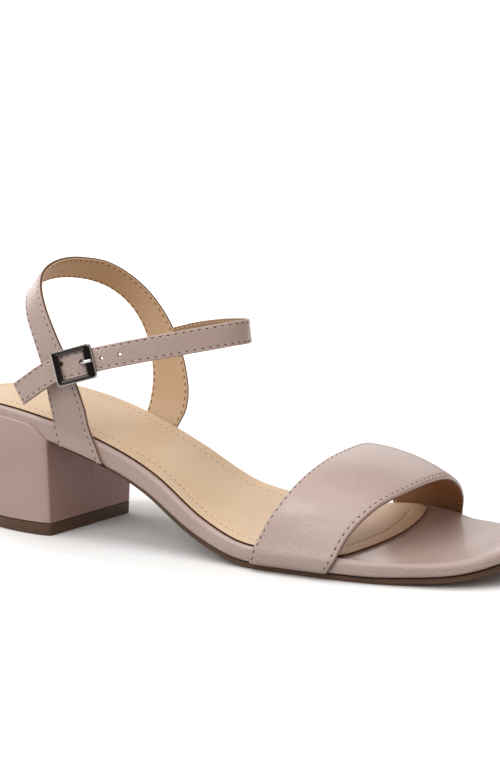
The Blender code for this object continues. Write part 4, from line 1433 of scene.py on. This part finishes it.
def ankle_lines():
    """The ankle strap's fine lines, each from its bottom edge to its top edge."""
    straight = []
    for shift in (-BUCKLE_STRAIGHT, -WINDOW_LINE, WINDOW_LINE, BUCKLE_STRAIGHT):
        rise = WINDOW_RISE if abs(shift) < BUCKLE_STRAIGHT else WINDOW_RISE / 2
        place = BUCKLE_PLACE + BUCKLE_ALONG * shift + BUCKLE_ACROSS * rise
        straight.append(Line(place.x, place.y, place.z, BUCKLE_LEAN))
    rows = ANKLE_TAIL + straight + ANKLE_FRONT
    middles = [Vector((row.along, row.side, row.height)) for row in rows]
    edge = FOLDED_ANKLE
    shares = shares_across(ANKLE_STRAP_WIDTH, edge.first_seam, edge.last_seam, 4)
    lines = []
    for i, row in enumerate(rows):
        width = ANKLE_STRAP_WIDTH + (WINDOW_WIDENS if row in straight[1:3] else 0.0)
        before, after = middles[max(i - 1, 0)], middles[min(i + 1, len(rows) - 1)]
        tangent = BUCKLE_ALONG if row in straight else (after - before).normalized()
        inward = Vector((-tangent.y, tangent.x, 0.0)).normalized()
        upright = inward.cross(-tangent).normalized()
        lean = math.radians(row.lean)
        across = upright * math.cos(lean) + inward * math.sin(lean)
        low = middles[i] - across * width / 2
        lines.append([low + across * width * share for share in shares])
    columns = [curve_between(list(column), 8) for column in zip(*lines)]
    fine = [list(line) for line in zip(*columns)]
    return with_end_places(fine)


def with_end_places(lines):
    """The lines with closer ones near both ends, where the cut edge is rounded."""
    steps = places_near(FOLDED_ANKLE.last_seam)
    for _ in range(2):
        middle = len(lines[0]) // 2
        gap = 0.0
        passed = 0
        while gap < steps[-1]:
            gap += (lines[passed + 1][middle] - lines[passed][middle]).length
            passed += 1
        ends = []
        for step in steps:
            share = step / gap
            ends.append([a.lerp(b, share) for a, b in zip(lines[0], lines[passed])])
        lines = (ends + lines[passed:])[::-1]
    return lines


WINDOW_BOW = 0.45


def make_ankle_strap():
    lines = ankle_lines()
    middle = len(lines[0]) // 2
    start = min(range(len(lines)), key=lambda i: (lines[i][middle] - BUCKLE_PLACE).length)
    lengths = lengths_along(lines)
    window_half = (BUCKLE_LENGTH - BUCKLE_FRONT_BAR - BUCKLE_BACK_BAR) / 2
    window_middle = lengths[start] + (BUCKLE_BACK_BAR - BUCKLE_FRONT_BAR) / 2

    def bow(along, across):
        """The strap bows outwards in the buckle's window."""
        from_window = abs(along * lengths[-1] - window_middle) / window_half
        return WINDOW_BOW * math.cos(math.pi / 2 * min(from_window, 1.0)) ** 1.5

    whole = [1.0] * len(lines)
    thing, strap = make_strap("ankle_strap", lines, whole, FOLDED_ANKLE, True, bow, SHADED_ANKLE_LINING)
    holes = bmesh.new()
    for shift, rise, radius in PUNCHED_HOLES:
        row, gone = start, 0.0
        step = 1 if shift > 0 else -1
        while gone < abs(shift):
            gone += (lines[row + step][middle] - lines[row][middle]).length
            row += step
        here, before = (lines[i][0].lerp(lines[i][-1], 0.5) for i in (row, row - step))
        passed = (lines[row][middle] - lines[row - step][middle]).length
        back = (gone - abs(shift)) / max(passed, 0.001)
        centre = here.lerp(before, back) + BUCKLE_ACROSS * rise
        turn = strap.normals[row][middle].to_track_quat("Z", "Y").to_matrix().to_4x4()
        made = bmesh.ops.create_cone(
            holes, cap_ends=True, segments=24, radius1=(radius - HOLE_SLOPE) * MM,
            radius2=(radius + HOLE_SLOPE) * MM, depth=2 * STRAP_THICKNESS * MM,
        )
        place = Matrix.Translation(to_frame(centre)) @ turn
        bmesh.ops.transform(holes, matrix=place, verts=made["verts"])
    for face in holes.faces:
        face.material_index = 1
    mesh = bpy.data.meshes.new("punches")
    holes.to_mesh(mesh)
    holes.free()
    for material in thing.data.materials:
        mesh.materials.append(material)
    thing = combined(thing, add_object("punches", mesh), "DIFFERENCE", "ankle_strap")
    ride(thing, "mauve_leather", "heel_and_ankle_strap")

    bottom, top = SEAM_COLUMN, len(lines[0]) - 1 - SEAM_COLUMN
    end_row = SEAM_COLUMN
    last = len(lines) - 1 - end_row
    path = [(row, bottom) for row in range(last, end_row, -1)]
    path += [(end_row, column) for column in range(bottom, top + 1)]
    path += [(row, top) for row in range(end_row + 1, last + 1)]
    sew_strap("ankle_strap", strap, [path], SMALL_HOLE, ANKLE_STITCH_PITCH, False)


# The buckle
def rounded_outline(left, right, half, radius, steps):
    """A rectangle's corner points with each corner turned in a short arc."""
    corners = (
        (right - radius, half - radius, 0.0),
        (left + radius, half - radius, 90.0),
        (left + radius, -half + radius, 180.0),
        (right - radius, -half + radius, 270.0),
    )
    points = []
    for x, y, first in corners:
        for step in range(steps + 1):
            angle = math.radians(first + 90.0 * step / steps)
            points.append(Vector((x + radius * math.cos(angle), y + radius * math.sin(angle))))
    return points


def tube(path, radii, sides):
    """Points and faces of a closed round wire along a path, with rounded ends."""
    rings, side = [], None
    count = len(path)
    for i, place in enumerate(path):
        tangent = (path[min(i + 1, count - 1)] - path[max(i - 1, 0)]).normalized()
        if side is None:
            side = tangent.orthogonal().normalized()
        side = (side - tangent * side.dot(tangent)).normalized()
        other = tangent.cross(side)
        rings.append([
            place + (side * math.cos(turn) + other * math.sin(turn)) * radii[i]
            for turn in (2 * math.pi * k / sides for k in range(sides))
        ])
    points = [point for ring in rings for point in ring]
    faces = []
    for level in range(count - 1):
        faces += ring_faces(level * sides, (level + 1) * sides, sides)
    faces.append(tuple(range(sides))[::-1])
    faces.append(tuple((count - 1) * sides + k for k in range(sides)))
    return points, faces


def rounded_ends(path, radius):
    """The path with small steps at both ends, and radii that round them off."""
    full = [radius] * len(path)
    start = (path[0] - path[1]).normalized()
    end = (path[-1] - path[-2]).normalized()
    before, after, thin = [], [], []
    for turn in (80.0, 60.0, 35.0):
        angle = math.radians(turn)
        before.append(path[0] + start * radius * math.sin(angle))
        after.append(path[-1] + end * radius * math.sin(angle))
        thin.append(radius * math.cos(angle))
    return before + path + after[::-1], thin + full + thin[::-1]


FRAME_EDGE_ROUND = 0.32
FRAME_CROWN = 0.12
FRAME_CROWN_SHARES = (0.3, 0.5, 0.7)
FRAME_CORNER_STEPS = 6
STAPLE_STEPS = 5
WIRE_SIDES = 16


def make_buckle_frame():
    """The frame with softly crowned bars, and its centre bar like a staple."""
    half_length, half_width = BUCKLE_LENGTH / 2, BUCKLE_WIDTH / 2
    outside = rounded_outline(
        -half_length, half_length, half_width, BUCKLE_ROUND, FRAME_CORNER_STEPS
    )
    window = rounded_outline(
        -half_length + BUCKLE_BACK_BAR, half_length - BUCKLE_FRONT_BAR,
        half_width - BUCKLE_RAIL, WINDOW_ROUND, FRAME_CORNER_STEPS,
    )
    level = STRAP_THICKNESS / 2 + CLEAR + BUCKLE_THICKNESS / 2
    half = BUCKLE_THICKNESS / 2
    face = half - FRAME_CROWN
    rising = [(drop, inset) for inset, drop in quarter_round(FRAME_EDGE_ROUND, 3)][::-1]
    falling = rising[::-1]

    def corner(place, way, steps, face_height, sign):
        return [(place + way * inset, sign * (face_height - drop)) for inset, drop in steps]

    points, faces, kinds = [], [], []
    for inner, outer in zip(window, outside):
        out = (outer - inner).normalized()
        width = (outer - inner).length
        ring = corner(inner, out, rising, face, 1)
        for share in FRAME_CROWN_SHARES:
            height = face + FRAME_CROWN * math.sin(math.pi * share)
            ring.append((inner + out * width * share, height))
        ring += corner(outer, -out, falling, face, 1) + corner(outer, -out, rising, half, -1)
        ring += corner(inner, out, falling, half, -1)
        points += [from_buckle(place.x, place.y, level + height) for place, height in ring]
    size, count = len(ring), len(outside)
    start = len(rising) + len(FRAME_CROWN_SHARES)
    # The frame's outer rounded edges take the bright metal: a painted highlight.
    painted_highlight_edge = range(start, start + 2 * len(rising) - 2)
    for i in range(count):
        faces += ring_faces(i * size, (i + 1) % count * size, size)
        kinds += [1 if k in painted_highlight_edge else 0 for k in range(size)]
    metals = [DARK_METAL, BRIGHT_METAL_AND_HIGHLIGHT]
    thing = make_piece("buckle_frame_polished", points, faces, metals, kinds, 50.0)

    rail = half_width - BUCKLE_RAIL / 2
    depth = -CENTRE_BAR_DEPTH
    bends = [Vector((0.0, rail, level))]
    for inset, rise in quarter_round(STAPLE_ROUND, STAPLE_STEPS):
        bends.append(Vector((0.0, rail - inset, depth + rise)))
    path = bends + [Vector((0.0, -place.y, place.z)) for place in reversed(bends)]
    bar_points, bar_faces = tube(path, [CENTRE_BAR_RADIUS] * len(path), WIRE_SIDES)
    bar_points = [from_buckle(*place) for place in bar_points]
    bar = make_piece("centre_bar", bar_points, bar_faces, [DARK_METAL])
    thing = combined(thing, bar, "UNION", "buckle_frame_polished")
    ride(thing, "dark_metal", "buckle_frame")


def make_buckle_prong():
    """The prong: hooked round the centre bar, out through its hole, onto the frame."""
    loop = CENTRE_BAR_RADIUS + CLEAR + PRONG_RADIUS
    path = []
    for step in range(PRONG_HOOK_STEPS + 1):
        angle = math.radians(PRONG_HOOK_END - PRONG_HOOK_TURN * step / PRONG_HOOK_STEPS)
        out = -CENTRE_BAR_DEPTH + loop * math.sin(angle)
        path.append(Vector((-loop * math.cos(angle), 0.0, out)))
    rest = STRAP_THICKNESS / 2 + 2 * CLEAR + BUCKLE_THICKNESS + PRONG_RADIUS
    window_end = BUCKLE_LENGTH / 2 - BUCKLE_FRONT_BAR
    last = [path[-1]]
    last += [Vector((PRONG_HOLE_CENTRE + along, 0.0, out)) for along, out in PRONG_IN_HOLE]
    last += [Vector((window_end + along, 0.0, rest + out)) for along, out in PRONG_OVER_BAR]
    last.append(Vector((PRONG_REACH, 0.0, rest)))
    path = path[:-1] + curve_between(last, 6)
    path, radii = rounded_ends(path, PRONG_RADIUS)
    points, faces = tube(path, radii, WIRE_SIDES)
    points = [from_buckle(*place) for place in points]
    thing = make_piece("buckle_prong_polished", points, faces, [BRIGHT_METAL_AND_HIGHLIGHT])
    ride(thing, "dark_metal", "buckle_prong")


def make_buckle_tab():
    """The leather loop that holds the centre bar, with a slot for the prong."""
    hole_radius = CENTRE_BAR_RADIUS + CLEAR
    radius = hole_radius + TAB_THICKNESS
    centre = -CENTRE_BAR_DEPTH
    under = centre - radius

    def on_circle(distance, degrees):
        angle = math.radians(degrees)
        return Vector((distance * math.cos(angle), centre + distance * math.sin(angle)))

    outline = [on_circle(radius, 10.0 * step - 90.0) for step in range(25)]
    outline += [
        Vector((-radius, under + TAB_NECK)),
        Vector((-TAB_TONGUE, under - TAB_TONGUE_DROP)),
        Vector((-TAB_TONGUE, under - TAB_TONGUE_DROP - TAB_THICKNESS)),
        Vector((-radius, under - TAB_NECK)),
    ]
    hole = [on_circle(hole_radius, 12.0 * step) for step in range(30)]
    curve = bpy.data.curves.new("buckle_tab", "CURVE")
    for loop in (outline, hole):
        spline = curve.splines.new("POLY")
        spline.points.add(len(loop) - 1)
        for point, place in zip(spline.points, loop):
            point.co = (place.x * MM, place.y * MM, 0.0, 1.0)
        spline.use_cyclic_u = True
    curve.dimensions = "2D"
    curve.fill_mode = "BOTH"
    curve.extrude = TAB_WIDTH / 2 * MM
    holder = baked(add_object("tab_outline", curve), "tab_outline")
    shape = bmesh.new()
    shape.from_mesh(holder.data)
    bmesh.ops.remove_doubles(shape, verts=shape.verts, dist=0.002 * MM)
    bmesh.ops.recalc_face_normals(shape, faces=shape.faces)
    turn = Matrix((BUCKLE_ALONG, BUCKLE_OUT, -BUCKLE_ACROSS)).transposed().to_4x4()
    place = Matrix.Translation(to_frame(BUCKLE_PLACE))
    bmesh.ops.transform(shape, matrix=place @ turn, verts=shape.verts)
    shape.to_mesh(holder.data)
    shape.free()
    slot = bpy.data.meshes.new("prong_slot")
    box = bmesh.new()
    bmesh.ops.create_cube(box, size=1.0)
    size = (TAB_SLOT_LENGTH * MM, TAB_SLOT * MM, 4 * radius * MM)
    bmesh.ops.scale(box, vec=size, verts=box.verts)
    turn = Matrix((BUCKLE_ALONG, BUCKLE_ACROSS, BUCKLE_OUT)).transposed().to_4x4()
    middle = Matrix.Translation(to_frame(from_buckle(0.0, 0.0, centre)))
    bmesh.ops.transform(box, matrix=middle @ turn, verts=box.verts)
    box.to_mesh(slot)
    box.free()
    thing = combined(holder, add_object("prong_slot", slot), "DIFFERENCE", "buckle_loop")
    thing.data.materials.clear()
    thing.data.materials.append(MAUVE_LEATHER)
    thing.data.shade_smooth()
    thing.data.set_sharp_from_angle(angle=math.radians(35.0))
    ride(thing, "mauve_leather", "buckle_tab")


def make_insole_seam():
    """The sock's stitch line, round its sides and across its front."""
    top = RIM_TOP_EDGE[0].depth - CLEAR - INSOLE_THICKNESS
    outer, inner = insole_ring(0.0, True, top + INSOLE_SEAM_DEPTH - INSOLE_SWELL)
    path = outer[::-1] + inner[1:]
    seam = [(place, Vector((-slope_at(place.x), 0.0, 1.0))) for place in path]
    sew("insole_thread", [seam], INSOLE_THREAD, TAN_THREAD, "tan_sock")
    sew("insole_needle_hole_shades", [seam], INSOLE_HOLE, NEEDLE_HOLE_SHADE, "tan_sock")


make_footbed()
make_insole()
make_insole_seam()
make_outsole()
make_heel()
make_top_lift()
make_vamp()
make_heel_strap()
make_ankle_strap()
make_buckle_frame()
make_buckle_prong()
make_buckle_tab()


# The studio: a pale floor and large soft lights. Its sizes are in metres, apart from
# SHADOW_FADE, which counts in the shadow's own half sizes.
FLOOR_HALF = 12.0
FLOOR_GLOW_NEAR = 0.32
FLOOR_GLOW_FAR = 0.9
SHADOW_HALF_LENGTH = 0.105
SHADOW_HALF_WIDTH = 0.05
SHADOW_FADE = (1.1, 1.4)
FLOOR_FADE = (0.35, 1.5)
WORLD_STRENGTH = 0.29
WORLD_TINT = (1.0, 0.93, 0.88, 1.0)


def make_floor():
    """A pale floor that glows a little, with a painted shadow: no near glow in an ellipse round
    the shoe.
    """
    h = FLOOR_HALF
    mesh = bpy.data.meshes.new("floor")
    mesh.from_pydata([(-h, -h, 0), (h, -h, 0), (h, h, 0), (-h, h, 0)], [], [(0, 1, 2, 3)])
    paint = Recipe("pale_floor", {
        "Roughness": 0.9, "Specular IOR Level": 0.0, "Emission Strength": 1.0,
    })
    place = paint.place()

    def glow(stretch, fade, strength):
        """A glow that grows away from the shoe, with the distances stretched first."""
        scaled = paint.node(
            "ShaderNodeVectorMath", {"operation": "MULTIPLY"}, {0: place, 1: stretch}
        )
        far = paint.node(
            "ShaderNodeVectorMath", {"operation": "LENGTH"}, {0: scaled.outputs[0]}
        )
        return paint.value("ShaderNodeMapRange", {}, {
            "Value": far.outputs["Value"], "From Min": fade[0], "From Max": fade[1],
            "To Min": 0.0, "To Max": strength,
        })

    ellipse = (1 / SHADOW_HALF_LENGTH, 1 / SHADOW_HALF_WIDTH, 0.0)
    # Painted shadow: the near glow is left out inside an ellipse round the shoe.
    near = glow(ellipse, SHADOW_FADE, FLOOR_GLOW_NEAR)
    wide = glow((1.0, 1.0, 1.0), FLOOR_FADE, FLOOR_GLOW_FAR)
    tone = paint.mixed(paint.noise(2.0, 1.0), (0.9, 0.9, 0.9, 1.0), (0.92, 0.92, 0.92, 1.0))
    grey = paint.mixed(near + wide, (0.0, 0.0, 0.0, 1.0), (1.0, 1.0, 1.0, 1.0))
    mesh.materials.append(paint.finish({"Base Color": tone, "Emission Color": grey}))
    floor = add_object("floor", mesh)
    floor.visible_diffuse = False


Softbox = namedtuple("Softbox", "name turn rise distance width height power tint")
SOFTBOXES = [
    Softbox("behind", -150.0, 25.0, 1.4, 1.2, 0.8, 3.6, (0.98, 1.0, 1.0)),
    Softbox("heel_end", -110.0, 20.0, 1.3, 1.0, 0.8, 5.3, (0.97, 1.0, 1.0)),
    Softbox("high_left", -72.0, 56.0, 1.0, 0.3, 0.3, 1.6, (0.97, 1.0, 1.0)),
    Softbox("front", -14.0, 35.0, 1.4, 1.0, 1.0, 10.0, (0.99, 1.0, 1.0)),
    Softbox("right", 70.0, 30.0, 1.4, 1.0, 1.0, 2.6, (1.0, 0.9, 0.83)),
    Softbox("above", 0.0, 85.0, 1.2, 1.2, 1.0, 6.0, (0.99, 1.0, 1.0)),
]


LIGHTS_MIDDLE = Vector((0.0, 0.0, 0.04))


def make_softbox(box):
    light = bpy.data.lights.new(box.name, "AREA")
    light.shape = "RECTANGLE"
    light.size, light.size_y = box.width, box.height
    light.energy = box.power
    light.color = box.tint
    back = direction(math.radians(box.turn), math.radians(box.rise))
    aim(add_object(box.name, light), back * box.distance + LIGHTS_MIDDLE, back)


def make_world():
    world = bpy.data.worlds.new("studio")
    bpy.context.scene.world = world
    world.use_nodes = True
    sky = world.node_tree.nodes["Background"].inputs
    sky["Color"].default_value = WORLD_TINT
    sky["Strength"].default_value = WORLD_STRENGTH


make_floor()
make_world()
for box in SOFTBOXES:
    make_softbox(box)
bpy.context.scene.view_settings.view_transform = "Standard"
